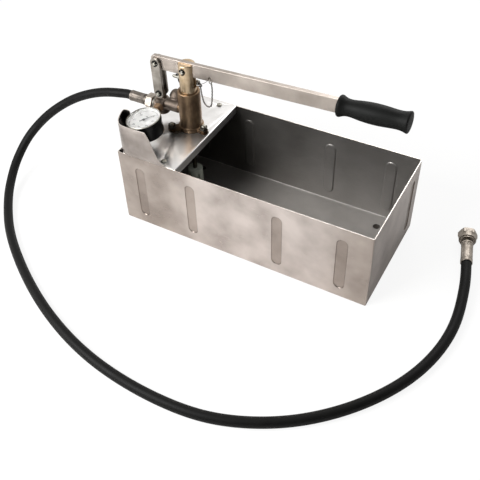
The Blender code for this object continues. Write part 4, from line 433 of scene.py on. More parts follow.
def plate(outline: Sequence[Point], holes: Sequence[Sequence[Point]], thickness: float, ease: float = 0.0) -> Mesh:
    """Make a flat plate with holes and eased edges, centred on its own middle plane.

    Args:
        outline: The plate's outline.
        holes: Outlines of its holes.
        thickness: Its thickness.
        ease: Width of the chamfer on every edge.

    Returns:
        A closed mesh.
    """
    mesh = bmesh.new()
    rims = {-1.0: [], 1.0: []}
    for index, loop in enumerate([outline, *holes]):
        area = sum(a[0] * b[1] - b[0] * a[1] for a, b in zip(loop, [*loop[1:], loop[0]]))
        turned = list(loop) if (area > 0.0) == (index == 0) else list(reversed(loop))
        stack = [(inset(turned, ease), -thickness / 2), (turned, ease - thickness / 2),
                 (turned, thickness / 2 - ease), (inset(turned, ease), thickness / 2)]
        if not ease:
            stack = [stack[0], stack[3]]
        rings = [[mesh.verts.new((x, y, z)) for x, y in points] for points, z in stack]
        bridge(mesh, rings)
        for side, ring in ((-1.0, rings[0]), (1.0, rings[-1])):
            rims[side] += [mesh.edges.get((ring[at - 1], ring[at])) for at in range(len(ring))]
    for edges in rims.values():
        bmesh.ops.triangle_fill(mesh, use_beauty=True, edges=edges)
    return outward(mesh)


def bar(radius: float, foot: float, top: float, ease: float = 0.0, steps: int = 48) -> Mesh:
    """Make a round bar along Z with chamfered ends."""
    return lathe([(0.0, foot), (radius - ease, foot), (radius, foot + ease), (radius, top - ease),
                  (radius - ease, top), (0.0, top)], steps)


def wire(route: Sequence[Vector], radius: float, sides: int, closed: bool = False) -> Mesh:
    """Sweep a round section along a route with a frame that doesn't twist.

    Args:
        route: Points of the centre line.
        radius: Radius of the section.
        sides: Number of sides of the section.
        closed: Whether the route is a loop.

    Returns:
        A closed mesh.
    """
    mesh = bmesh.new()
    count = len(route)
    ways = [((route[(at + 1) % count] if closed else route[min(at + 1, count - 1)])
             - (route[at - 1] if closed else route[max(at - 1, 0)])).normalized() for at in range(count)]
    side = ways[0].orthogonal().normalized()
    rings = []
    for place, way in zip(route, ways):
        side = (side - way * side.dot(way)).normalized()
        up = way.cross(side)
        rings.append([mesh.verts.new(place + side * x + up * y) for x, y in arc(radius, sides)])
    if closed:
        slip = min(range(sides), key=lambda at: (rings[-1][0].co - rings[0][at].co).length)
        rings.append(rings[0][slip:] + rings[0][:slip])
    bridge(mesh, rings)
    if not closed:
        mesh.faces.new(rings[0])
        mesh.faces.new(rings[-1])
    return outward(mesh)


def smooth_route(points: Sequence[Sequence[float]], count: int) -> list[Vector]:
    """Return evenly spaced points on the natural cubic curve through a route's points.

    Args:
        points: The route's points.
        count: How many points to return.

    Returns:
        The points of the curve.
    """
    places = np.array([tuple(point) for point in points])
    steps = np.linalg.norm(np.diff(places, axis=0), axis=1)
    knots = np.concatenate(([0.0], np.cumsum(steps)))
    size = len(places)
    system, pull = np.eye(size), np.zeros_like(places)
    for at in range(1, size - 1):
        before, after = steps[at - 1], steps[at]
        system[at, at - 1:at + 2] = (before, 2 * (before + after), after)
        pull[at] = 6 * ((places[at + 1] - places[at]) / after - (places[at] - places[at - 1]) / before)
    bend = np.linalg.solve(system, pull)
    dense = np.linspace(0.0, knots[-1], 40 * count)
    span = np.clip(np.searchsorted(knots, dense, side="right") - 1, 0, size - 2)
    width = steps[span][:, None]
    late = (dense[:, None] - knots[span][:, None]) / width
    early = 1.0 - late
    curve = (places[span] * early + places[span + 1] * late
             + ((early ** 3 - early) * bend[span] + (late ** 3 - late) * bend[span + 1]) * width ** 2 / 6)
    along = np.concatenate(([0.0], np.cumsum(np.linalg.norm(np.diff(curve, axis=0), axis=1))))
    even = np.linspace(0.0, along[-1], count)
    return [Vector(point) for point in np.stack([np.interp(even, along, curve[:, axis]) for axis in range(3)], axis=1)]


def run_of(route: Sequence[Vector]) -> float:
    """Return the length of a route."""
    return sum((after - before).length for before, after in zip(route, route[1:]))


def frame_at(origin: Vector, axis: Vector, hint: Vector = UP) -> Matrix:
    """Return a frame whose Z runs along an axis and whose Y leans toward the hint.

    Args:
        origin: The frame's origin.
        axis: Direction of its Z.
        hint: Direction that its Y leans toward.

    Returns:
        The frame.
    """
    z_axis = axis.normalized()
    if z_axis.cross(hint).length < 0.001:
        hint = BACK
    x_axis = hint.cross(z_axis).normalized()
    turn = Matrix((x_axis, z_axis.cross(x_axis), z_axis)).transposed()
    return Matrix.Translation(origin) @ turn.to_4x4()


def across(place: Vector) -> Matrix:
    """Return the frame of a plate that lies in the lever's upright plane."""
    return frame_at(place, -BACK)


def lift(height: float) -> Matrix:
    """Return a move along Z."""
    return Matrix.Translation(UP * height)


# Blanks, which are objects in the making

def added(name: str, data: bpy.types.ID) -> Piece:
    """Put new data into the scene as an object."""
    made = bpy.data.objects.new(name, data)
    bpy.context.scene.collection.objects.link(made)
    return made


def blank(mesh: Mesh, place: Matrix | None = None) -> Piece:
    """Turn a mesh into a scene object, in millimetres, with its place in its mesh.

    Args:
        mesh: The mesh, which is used up.
        place: Where it goes, or None to leave it.

    Returns:
        The object.
    """
    data = bpy.data.meshes.new("blank")
    mesh.to_mesh(data)
    mesh.free()
    if place is not None:
        data.transform(place)
    return added("blank", data)


def moved(made: Piece, place: Matrix) -> Piece:
    """Move a blank's mesh and return the blank."""
    made.data.transform(place)
    return made


def baked(made: Piece, *spent: Piece) -> Piece:
    """Turn an object and its modifiers into a plain mesh object.

    Args:
        made: The object to bake.
        spent: Helpers that aren't needed afterwards.

    Returns:
        The object that takes its place.
    """
    bpy.context.view_layer.update()
    graph = bpy.context.evaluated_depsgraph_get()
    data = bpy.data.meshes.new_from_object(made.evaluated_get(graph), depsgraph=graph)
    result = added("blank", data)
    for old in (made, *spent):
        bpy.data.objects.remove(old)
    return result


def shaped(made: Piece, cuts: Sequence[Piece] = (), joins: Sequence[Piece] = (), ease: float = 0.0) -> Piece:
    """Fuse shapes to an object, cut others from it, and ease its sharp edges.

    Args:
        made: The object to shape.
        cuts: Shapes to cut away.
        joins: Shapes to fuse first.
        ease: Width of the rounding on sharp edges.

    Returns:
        The baked result.
    """
    for operation, shapes in (("UNION", joins), ("DIFFERENCE", cuts)):
        for shape in shapes:
            step = made.modifiers.new("step", "BOOLEAN")
            step.operation, step.solver, step.object = operation, "EXACT", shape
    if ease:
        rounding = made.modifiers.new("ease", "BEVEL")
        rounding.width, rounding.segments = ease, 2
        rounding.limit_method, rounding.angle_limit = "ANGLE", EASE_ANGLE
    return baked(made, *cuts, *joins)


def together(parts: Sequence[Piece]) -> Piece:
    """Put several objects into one mesh without fusing them.

    Args:
        parts: The objects, which are used up.

    Returns:
        One object.
    """
    mesh = bmesh.new()
    for part in parts:
        mesh.from_mesh(part.data)
        bpy.data.objects.remove(part)
    return blank(mesh)


def sheeted(mesh: Mesh, thickness: float, ease: float, finishes: Sequence[Finish]) -> Piece:
    """Give a skin the thickness of its sheet, inwards, and ease its cut edges.

    Args:
        mesh: The skin, whose faces look outwards.
        thickness: The sheet's thickness.
        ease: Width of the rounding on its edges.
        finishes: Finishes of its outside, its inside and its cut edges.

    Returns:
        The baked sheet.
    """
    made = blank(mesh)
    wall = made.modifiers.new("sheet", "SOLIDIFY")
    wall.thickness, wall.offset, wall.use_even_offset = thickness, -1.0, True
    wall.material_offset, wall.material_offset_rim = 1, 2
    for finish in finishes:
        made.data.materials.append(finish.material())
    return shaped(made, ease=ease)


def paint(made: Piece, name: str, share: Callable[[Vector], float]) -> None:
    """Write an attribute from 0 to 1 on a blank's vertices, from their places in millimetres."""
    layer = made.data.attributes.new(name, "FLOAT", "POINT")
    layer.data.foreach_set("value", [share(vertex.co) for vertex in made.data.vertices])


def numbered(stem: str, count: int) -> list[str]:
    """Return a stem with each number from 1."""
    return [f"{stem}_{number}" for number in range(1, count + 1)]


def publish(made: Piece, name: str, finishes: Sequence[Finish], nodes: Sequence[str] = (),
            body: Body | None = Body.BASE, angle: float = SMOOTH_ANGLE) -> Piece:
    """Finish a piece: metres, smooth shading, materials, its body and the CAD nodes that it stands for.

    Args:
        made: The object, in millimetres.
        name: The piece's name.
        finishes: Its finishes, by material number.
        nodes: CAD nodes that it replaces.
        body: The CAD body that it rides on, or None for a piece between two bodies.
        angle: Least angle of an edge that stays sharp.

    Returns:
        The finished piece.
    """
    data = made.data
    data.transform(Matrix.Scale(MM, 4))
    numbers = [0] * len(data.polygons)
    if len(finishes) > 1:
        data.polygons.foreach_get("material_index", numbers)
    data.materials.clear()
    for finish in finishes:
        data.materials.append(finish.material())
    data.polygons.foreach_set("material_index", numbers)
    data.shade_smooth()
    data.set_sharp_from_angle(angle=angle)
    made.name = data.name = name
    if body is not None:
        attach(made, body.value)
    if nodes:
        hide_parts(*nodes)
    LOG.info("%s: %d faces on %s", name, len(data.polygons), body.value if body else "two bodies")
    return made


def dress(node: str, finish: Finish) -> None:
    """Give a CAD node that keeps its shape a better finish.

    Args:
        node: The node's name.
        finish: Its new finish.
    """
    piece = frame["nodes"][node]
    piece.data.materials.clear()
    piece.data.materials.append(finish.material())
    LOG.info("%s keeps its CAD shape in %s", node, finish.name)


# Geometry Nodes that repeat a template

class Repeat(Enum):
    """How a template is repeated."""

    ON_POINTS = "on_points"
    ROUND_ARC = "round_arc"
    ALONG_CURVE = "along_curve"


def repeat_tree(kind: Repeat) -> Tree:
    """Build the node tree that repeats a template, with named inputs for its sizes.

    Args:
        kind: Whether the template stands on points, round an arc or along a curve.

    Returns:
        The node tree, which ends in Realize Instances and Set Material.
    """
    tree = bpy.data.node_groups.new(kind.value, "GeometryNodeTree")
    sockets = [("Geometry", "NodeSocketGeometry"), ("Template", "NodeSocketObject"),
               ("Finish", "NodeSocketMaterial"), ("Count", "NodeSocketInt"), ("Radius", "NodeSocketFloat"),
               ("Start", "NodeSocketFloat"), ("Step", "NodeSocketFloat")]
    for name, socket_type in sockets:
        tree.interface.new_socket(name=name, in_out="INPUT", socket_type=socket_type)
    tree.interface.new_socket(name="Geometry", in_out="OUTPUT", socket_type="NodeSocketGeometry")
    given = put(tree, "NodeGroupInput").outputs
    template = put(tree, "GeometryNodeObjectInfo", {"transform_space": "ORIGINAL"},
                   {"Object": given["Template"]}).outputs["Geometry"]
    index = put(tree, "GeometryNodeInputIndex")
    turn = put(tree, "ShaderNodeMath", {"operation": "MULTIPLY_ADD"}, {0: index, 1: given["Step"], 2: given["Start"]})
    points = given["Geometry"]
    rotation = None
    if kind is Repeat.ROUND_ARC:
        line = put(tree, "GeometryNodeMeshLine", links={"Count": given["Count"]})
        reach = [put(tree, "ShaderNodeMath", {"operation": "MULTIPLY"},
                     {0: put(tree, "ShaderNodeMath", {"operation": way}, {0: turn}), 1: given["Radius"]})
                 for way in ("COSINE", "SINE")]
        place = put(tree, "ShaderNodeCombineXYZ", links={"X": reach[0], "Y": reach[1]})
        points = put(tree, "GeometryNodeSetPosition", links={"Geometry": line, "Position": place})
        rotation = put(tree, "ShaderNodeCombineXYZ", links={"Z": turn})
    if kind is Repeat.ALONG_CURVE:
        points = put(tree, "GeometryNodeResampleCurve", links={"Curve": points, "Count": given["Count"]})
        tangent = put(tree, "GeometryNodeInputTangent")
        aligned = put(tree, "FunctionNodeAlignRotationToVector", {"axis": "X"}, {"Vector": tangent})
        spin = put(tree, "FunctionNodeAxisAngleToRotation", {"Axis": (1.0, 0.0, 0.0)}, {"Angle": turn})
        rotation = put(tree, "FunctionNodeRotateRotation", {"rotation_space": "LOCAL"},
                       {"Rotation": aligned, "Rotate By": spin})
    links = {"Points": points, "Instance": template}
    if rotation is not None:
        links["Rotation"] = rotation
    instances = put(tree, "GeometryNodeInstanceOnPoints", links=links)
    real = put(tree, "GeometryNodeRealizeInstances", links={"Geometry": instances})
    done = put(tree, "GeometryNodeSetMaterial", links={"Geometry": real, "Material": given["Finish"]})
    put(tree, "NodeGroupOutput", links={"Geometry": done})
    return tree


def repeated(kind: Repeat, template: Piece, finish: Finish, base: Piece | None = None,
             count: int = 1, radius: float = 0.0, start: float = 0.0, step: float = 0.0) -> Piece:
    """Repeat a template with its node tree and bake the result.

    Args:
        kind: How it is repeated.
        template: The object to repeat, which is used up.
        finish: Finish of every copy.
        base: Object whose points or curve carry the copies.
        count: Number of copies.
        radius: Radius of the arc.
        start: Turn of the first copy.
        step: Turn from one copy to the next.

    Returns:
        The copies as one mesh object.
    """
    tree = bpy.data.node_groups.get(kind.value) or repeat_tree(kind)
    carrier = base or blank(bmesh.new())
    growth = carrier.modifiers.new(kind.value, "NODES")
    growth.node_group = tree
    values = {"Template": template, "Finish": finish.material(), "Count": count, "Radius": radius,
              "Start": start, "Step": step}
    for socket in tree.interface.items_tree:
        if socket.in_out == "INPUT" and socket.name in values:
            growth[socket.identifier] = values[socket.name]
    return baked(carrier, template)


def on_places(template: Piece, places: Sequence[Vector], finish: Finish) -> Piece:
    """Stand a copy of a template on each of several places.

    Args:
        template: The object to repeat, which is used up.
        places: Where the copies stand.
        finish: Finish of every copy.

    Returns:
        The copies as one object.
    """
    mesh = bmesh.new()
    for place in places:
        mesh.verts.new(place)
    return repeated(Repeat.ON_POINTS, template, finish, blank(mesh))


def nut_blank(flats: float, height: float, bore: float, ease: float = 1.0) -> Piece:
    """Make a hexagon nut along Z, with its corners turned off at both ends, centred on its middle.

    Args:
        flats: Its size across the flats.
        height: Its height.
        bore: Radius of its bore, or 0 for none.
        ease: Width of the chamfer at the bore's mouths.

    Returns:
        The nut.
    """
    reach, shoulder, half = flats / sqrt(3) + 0.2, flats / 2 - 0.3, height / 2
    drop = (reach - shoulder) * tan(radians(30))
    shell = blank(lathe([(0.0, -half), (shoulder, -half), (reach, drop - half), (reach, half - drop),
                         (shoulder, half), (0.0, half)]))
    body = blank(plate(hexagon(flats), [], height + 1.0))
    step = body.modifiers.new("corners", "BOOLEAN")
    step.operation, step.solver, step.object = "INTERSECT", "EXACT", shell
    body = baked(body, shell)
    if bore:
        mouth = lathe([(0.0, -half - 1), (bore + ease, -half - 1), (bore + ease, -half), (bore, ease - half),
                       (bore, half - ease), (bore + ease, half), (bore + ease, half + 1), (0.0, half + 1)], 48)
        body = shaped(body, cuts=[blank(mouth)])
    return body


# Where the main axes are, in millimetres

@dataclass(frozen=True)
class Layout:
    """Places that several sub-assemblies share."""

    pump: Vector = Vector((-161.0, 12.0, 0.0))
    chamber: Vector = Vector((-221.0, 12.0, 0.0))
    tower: Vector = Vector((-198.5, 25.0, 0.0))
    deck_top: float = 156.5
    rod_pin: Vector = Vector((-161.0, 12.0, 281.0))
    link_top: Vector = Vector((-221.96990, 12.0, 279.08396))
    link_foot: Vector = Vector((-221.0, 12.0, 217.5))
    lock: Vector = Vector((-161.0, 21.0, 251.5))
    chain_hole: Point = (48.0, -7.2)
    slope: float = radians(1.8)
    outlet_z: float = 188.0
    port_z: float = 193.4
    gauge_z: float = 196.0
    gauge_turn: float = radians(104)
    gauge_tilt: float = radians(10)

    @property
    def lever_way(self) -> Vector:
        """Direction along the lever."""
        return Vector((cos(self.slope), 0.0, sin(self.slope)))

    @property
    def lever_up(self) -> Vector:
        """Direction up across the lever."""
        return Vector((-self.lever_way.z, 0.0, self.lever_way.x))

    @property
    def stem_way(self) -> Vector:
        """Direction from the gauge to the valve body."""
        return Vector((*polar(1.0, self.gauge_turn), 0.0))

    @property
    def gauge_normal(self) -> Vector:
        """Direction that the dial faces."""
        lean = Vector((-sin(self.gauge_turn), cos(self.gauge_turn), 0.0))
        return UP * cos(self.gauge_tilt) + lean * sin(self.gauge_tilt)

    def lever_frame(self, distance: float) -> Matrix:
        """Return the frame on the lever at a distance from its pin: X along it, Y up across it."""
        along, over = self.lever_way, self.lever_up
        turn = Matrix((along, over, along.cross(over))).transposed()
        return Matrix.Translation(self.rod_pin + along * distance) @ turn.to_4x4()


LAYOUT = Layout()


# Sub-assemblies

@dataclass
class Tank:
    """Open tank bent from one sheet, with ribs pressed into its walls."""

    length: float = 485.0
    width: float = 220.0
    height: float = 156.0
    sheet: float = 1.5
    bend: float = 2.1
    bend_steps: int = 4
    rib_width: float = 20.4
    rib_length: float = 112.0
    rib_depth: float = 1.5
    rib_slope: float = 1.5
    rib_foot: float = 20.0
    side_ribs: tuple[float, ...] = (-198.0, -93.12, 76.145, 192.06)
    end_rib: float = 75.02
    mark_radius: float = 7.0
    mark_depth: float = 1.3
    mark_place: Point = (189.0, 78.0)
    tab_reach: float = 15.5
    tab_length: float = 16.0
    tab_hole: float = 2.4
    tab_drop: float = 2.0
    grid: float = 12.0
    grid_up: float = 10.0
    rib_lines: tuple[float, ...] = (-4.6, -3.2, -2.2, -1.6, -1.1, -0.6, -0.1, 0.7, 2.4)
    edge_ease: float = 0.35
    ripple: float = 0.35
    ripple_size: Point = (95.0, 70.0)
    wall_band: float = 6.0
    inner_share: float = 0.7
    # Painted shade: its fade across the inner walls, and where it starts and how far it runs toward each end outside
    shade_inside: Point = (0.3, 150.0)
    shade_left: Point = (-40.0, 130.0)
    shade_right: Point = (135.0, 95.0)

    def stations(self, half: float, centres: Sequence[float], edge: float, coarse: float) -> list[float]:
        """Return grid lines from -half to half, close together at a distance from each centre.

        Args:
            half: Half of the grid's length.
            centres: Middles of the ribs and marks.
            edge: Distance from a middle to the slope that needs close lines.
            coarse: Widest spacing elsewhere.

        Returns:
            The lines, in order.
        """
        steps = [edge + away for away in self.rib_lines] + [0.0, edge * 0.3]
        lines = {round(centre + sign * step, 3) for centre in centres for step in steps for sign in (-1.0, 1.0)}
        lines = {line for line in lines if abs(line) < half - 0.5}
        lines |= {-half, half, self.sheet - half, half - self.sheet}
        for before, after in zip(ordered := sorted(lines), ordered[1:]):
            count = ceil((after - before) / coarse)
            lines |= {before + (after - before) * step / count for step in range(1, count)}
        return sorted(lines)

    def press(self, along: float, height: float, centres: Sequence[float]) -> float:
        """Return how deep the wall is pressed in at a point of it.

        Args:
            along: The point's place along the wall.
            height: Its height.
            centres: Places of the wall's ribs.

        Returns:
            The depth.
        """
        low = self.rib_foot + self.rib_width / 2
        high = self.rib_foot + self.rib_length - self.rib_width / 2
        depth = 0.0
        for centre in centres:
            away = hypot(along - centre, height - min(max(height, low), high))
            depth = max(depth, self.rib_depth * eased((self.rib_width / 2 - away) / self.rib_slope))
        return depth

    def shell(self) -> Mesh:
        """Build the outer skin as one grid over walls, bends and floor.

        Returns:
            An open mesh whose faces look outward.
        """
        bend = self.bend
        half_x, half_y = self.length / 2 - bend, self.width / 2 - bend
        mark_x, mark_y = self.mark_place
        edge, middle = self.rib_width / 2, (self.height + bend) / 2
        x_lines = self.stations(half_x, [*self.side_ribs, -mark_x, mark_x], edge, self.grid)
        y_lines = self.stations(half_y, [self.end_rib, -mark_y, mark_y], edge, self.grid)
        centres = [self.rib_foot + edge - middle, self.rib_foot + self.rib_length - edge - middle]
        heights = [line + middle for line in self.stations((self.height - bend) / 2, centres, edge, self.grid_up)]
        end_ribs = (self.end_rib,)
        quarters = [pi / 2 * step / self.bend_steps for step in range(1, self.bend_steps)]
        walls = (([((x, -half_y), x) for x in x_lines], (0.0, -1.0), self.side_ribs),
                 ([((half_x, y), y) for y in y_lines], (1.0, 0.0), end_ribs),
                 ([((x, half_y), x) for x in reversed(x_lines)], (0.0, 1.0), self.side_ribs),
                 ([((-half_x, y), y) for y in reversed(y_lines)], (-1.0, 0.0), end_ribs))
        columns = []
        for number, (feet, way, ribs) in enumerate(walls):
            columns += [(foot, way, along, ribs) for foot, along in feet]
            columns += [(feet[-1][0], polar(1.0, pi / 2 * (number - 1) + turn), 0.0, ()) for turn in quarters]

        mesh = bmesh.new()
        floor = {(x, y): mesh.verts.new((x, y, 0.0)) for x in x_lines for y in y_lines}
        rows = []
        for height in reversed(heights):
            rows.append([mesh.verts.new((c[0] + d[0] * (bend - self.press(along, height, ribs)),
                                         c[1] + d[1] * (bend - self.press(along, height, ribs)), height))
                         for c, d, along, ribs in columns])
        for angle in quarters:
            reach, low = bend * cos(angle), bend - bend * sin(angle)
            rows.append([mesh.verts.new((c[0] + d[0] * reach, c[1] + d[1] * reach, low)) for c, d, _, _ in columns])
        rows.append([floor[c] for c, _, _, _ in columns])
        bridge(mesh, rows)
        for x, next_x in zip(x_lines, x_lines[1:]):
            for y, next_y in zip(y_lines, y_lines[1:]):
                mesh.faces.new((floor[x, y], floor[x, next_y], floor[next_x, next_y], floor[next_x, y]))
        outward(mesh)
        lowest = min(mesh.faces, key=lambda face: face.calc_center_median().z)
        if lowest.normal.z > 0.0:
            bmesh.ops.reverse_faces(mesh, faces=mesh.faces[:])
        return mesh

    def mark(self, place: Vector) -> float:
        """Return how deep a point of the floor lies in one of its round marks, from 0 to 1."""
        away = hypot(abs(place.x) - self.mark_place[0], abs(place.y) - self.mark_place[1])
        return eased((self.mark_radius - away) / 2.0)

    def inner(self, place: Vector) -> bool:
        """Tell whether a vertex of a wall lies on its inner side.

        Args:
            place: The vertex's place.

        Returns:
            True on the inner side.
        """
        side, end = abs(place.y) - self.width / 2, abs(place.x) - self.length / 2
        if side > end:
            return side < -self.press(place.x, place.z, self.side_ribs) - self.inner_share * self.sheet
        return end < -self.press(place.y, place.z, (self.end_rib,)) - self.inner_share * self.sheet

    def painted_shade(self, place: Vector) -> float:
        """Find the painted shade at a vertex: on the inner walls, and on the outside toward both ends.

        Args:
            place: The vertex's place.

        Returns:
            The share of painted shade, from 0 to 1.
        """
        x, y, z = place
        if self.inner(place):
            fade, length = self.shade_inside
            return 1.0 - fade * clamp(x / length) if z > self.bend + 1.0 else 0.0
        if abs(y) < self.width / 2 - 4.0:
            return 0.0
        (left, left_length), (right, right_length) = self.shade_left, self.shade_right
        share = eased(max((left - x) / left_length, (x - right) / right_length))
        return share * (1.0 - 0.6 * self.pressed(place))

    def pressed(self, place: Vector) -> float:
        """Find how far the sheet is pressed in at a vertex.

        Args:
            place: The vertex's place.

        Returns:
            The share of the full depth, from 0 to 1.
        """
        x, y, z = place
        if z < self.bend:
            return self.mark(place) if z > 0.05 else 0.0
        if self.inner(place):
            return 0.0
        if abs(y) > self.width / 2 - self.wall_band:
            return self.press(x, z, self.side_ribs) / self.rib_depth
        return self.press(y, z, (self.end_rib,)) / self.rib_depth

    def tabs(self) -> list[Piece]:
        """Build the four tabs under the deck that its screws enter.

        Returns:
            The tabs.
        """
        made = []
        height = LAYOUT.deck_top - self.tab_drop - GAP - self.sheet / 2
        reach = self.tab_reach / 2
        for x, y, _ in Deck().screw_places():
            middle = copysign(self.width / 2 - self.sheet - reach + 0.4, y)
            outline = oblong(x - self.tab_length / 2, x + self.tab_length / 2, middle - reach, middle + reach)
            made.append(blank(plate(outline, [arc(self.tab_hole, 20, centre=(x, y))], self.sheet, 0.2), lift(height)))
        return made

    def build(self) -> None:
        """Build and dress the tank."""
        finishes = (SHEET, INSIDE, EDGE_HIGHLIGHT)
        made = sheeted(self.shell(), self.sheet, self.edge_ease, finishes)
        for vertex in made.data.vertices:
            x, y, z = vertex.co
            if abs(z - self.sheet) < 0.2:
                vertex.co.z -= self.mark_depth * self.mark(vertex.co)
            elif z > self.bend:
                length, rise = self.ripple_size
                slow = self.ripple * noise.noise(Vector((x / length, y / length, z / rise)))
                slow *= 1.0 - abs(2 * z / self.height - 1.0) ** 3
                vertex.co.y += slow * (abs(y) > self.width / 2 - self.wall_band)
                vertex.co.x += slow * (abs(x) > self.length / 2 - self.wall_band)
        made = together([made, *self.tabs()])
        paint(made, "pressed", self.pressed)
        # Painted shade on the inner walls and toward both ends outside
        paint(made, "painted_shade", self.painted_shade)
        publish(made, "tank_sheet", finishes, ["tank"], angle=radians(55))


@dataclass
class Deck:
    """Buffed deck plate with a folded lip, its four screws and the gauge guard."""

    left: float = -240.7
    right: float = -120.5
    width: float = 216.4
    thickness: float = 1.6
    bend: float = 1.9
    lip: float = 14.0
    screw_x: tuple[float, float] = (-218.0, -151.5)
    screw_y: float = 96.5
    screw_radius: float = 5.1
    barrel_hole: float = 12.8
    bolt_hole: float = 4.4
    screw_hole: float = 2.4
    corner_cut: float = 11.0
    recess_turn: float = 0.4
    guard_shade: Point = (-238.0, 9.0)
    guard_height: float = 61.0
    guard_sheet: float = 1.5
    guard_edge: float = -239.7
    guard_rise: tuple[Point, ...] = (
        (-141.0, 2.0), (-144.5, 2.4), (-148.0, 4.2), (-151.5, 8.6), (-155.3, 15.2), (-161.3, 30.6), (-167.2, 46.0),
        (-171.0, 54.0), (-173.6, 58.6), (-175.6, 60.4), (-178.6, 61.0))
    guard_plan: tuple[Point, ...] = (
        (-186.0, -110.2), (-199.0, -110.2), (-211.0, -110.2), (-220.0, -110.0), (-227.0, -108.6), (-233.5, -104.8),
        (-239.4, -98.2), (-244.4, -88.4), (-248.0, -77.5), (-249.5, -70.6), (-248.9, -66.8), (-246.0, -65.3),
        (-236.0, -65.6))

    def screw_places(self) -> list[Vector]:
        """Return where the deck's screws stand."""
        return [Vector((x, y, 0.0)) for x in self.screw_x for y in (-self.screw_y, self.screw_y)]

    def build_plate(self) -> None:
        """Build the deck plate with its bores and its clipped left corners."""
        top = LAYOUT.deck_top
        foot = top - self.thickness
        heart = (self.right - self.bend, top - self.bend)
        outline = ([(self.left, foot), (self.left, top)] + arc(self.bend, 8, pi / 2, -pi / 2, heart)
                   + [(self.right, foot - self.lip), (self.right - self.thickness, foot - self.lip)]
                   + arc(self.bend - self.thickness, 8, 0.0, pi / 2, heart))
        made = blank(plate(outline, [], self.width), frame_at(Vector(), -BACK))
        bores = ([(self.barrel_hole, LAYOUT.pump)] + [(self.bolt_hole, place) for place in Pump().ear_places()]
                 + [(self.screw_hole, place) for place in self.screw_places()])
        cutters = [blank(bar(radius, foot - 2, top + 2), Matrix.Translation(place)) for radius, place in bores]
        for side in (-self.width / 2, self.width / 2):
            cutters.append(blank(plate(arc(self.corner_cut, 4), [], 8.0), Matrix.Translation((self.left, side, top))))
        publish(shaped(made, cuts=cutters, ease=0.3), "deck_sheet", (DECK,), ["deck_plate"])

    def build_screws(self) -> None:
        """Build one pan-head screw with a cross recess and stand it on all four places."""
        foot, head, radius = LAYOUT.deck_top - 7.0, LAYOUT.deck_top + GAP, self.screw_radius
        dome = [(radius * cos(turn), head + 0.5 + 2.1 * sin(turn)) for turn in (pi / 2 * step / 8 for step in range(8))]
        made = blank(lathe([(0.0, foot), (1.6, foot), (2.0, foot + 0.5), (2.0, head), (radius, head), *dome,
                            (0.0, head + 2.6)], 40))
        recess = [blank(plate(oblong(-2.2, 2.2, -0.45, 0.45), [], 2.4),
                        lift(head + 2.6) @ Matrix.Rotation(self.recess_turn + quarter, 4, "Z"))
                  for quarter in (0.0, pi / 2)]
        template = shaped(made, cuts=recess, ease=0.12)
        publish(on_places(template, self.screw_places(), ZINC), "deck_pan_screws", (ZINC,), numbered("deck_screw", 4))

    def build_guard(self) -> None:
        """Build the bent guard sheet: a front wing, a round corner and a side wing."""
        foot = LAYOUT.deck_top + GAP
        bend = smooth_route([(x, y, 0.0) for x, y in self.guard_plan], 48)
        stations = [(x, bend[0].y, rise) for x, rise in self.guard_rise]
        stations += [(place.x, place.y, self.guard_height) for place in bend]
        mesh = bmesh.new()
        levels = np.linspace(0.0, 1.0, 9)
        columns = [[mesh.verts.new((x * level + max(x, self.guard_edge) * (1.0 - level), y, foot + rise * level))
                    for level in levels] for x, y, rise in stations]
        bridge(mesh, columns, closed=False)
        finishes = (GUARD_SHEET, GUARD_BACK, EDGE_HIGHLIGHT)
        made = sheeted(mesh, self.guard_sheet, 0.3, finishes)
        # Painted shade on the left wing, deeper toward the left
        edge, fade = self.guard_shade
        paint(made, "painted_shade", lambda place: clamp((edge - place.x) / fade))
        publish(made, "guard_sheet", finishes, ["gauge_guard"], angle=radians(50))

    def build(self) -> None:
        """Build the deck, its screws and the guard."""
        self.build_plate()
        self.build_screws()
        self.build_guard()


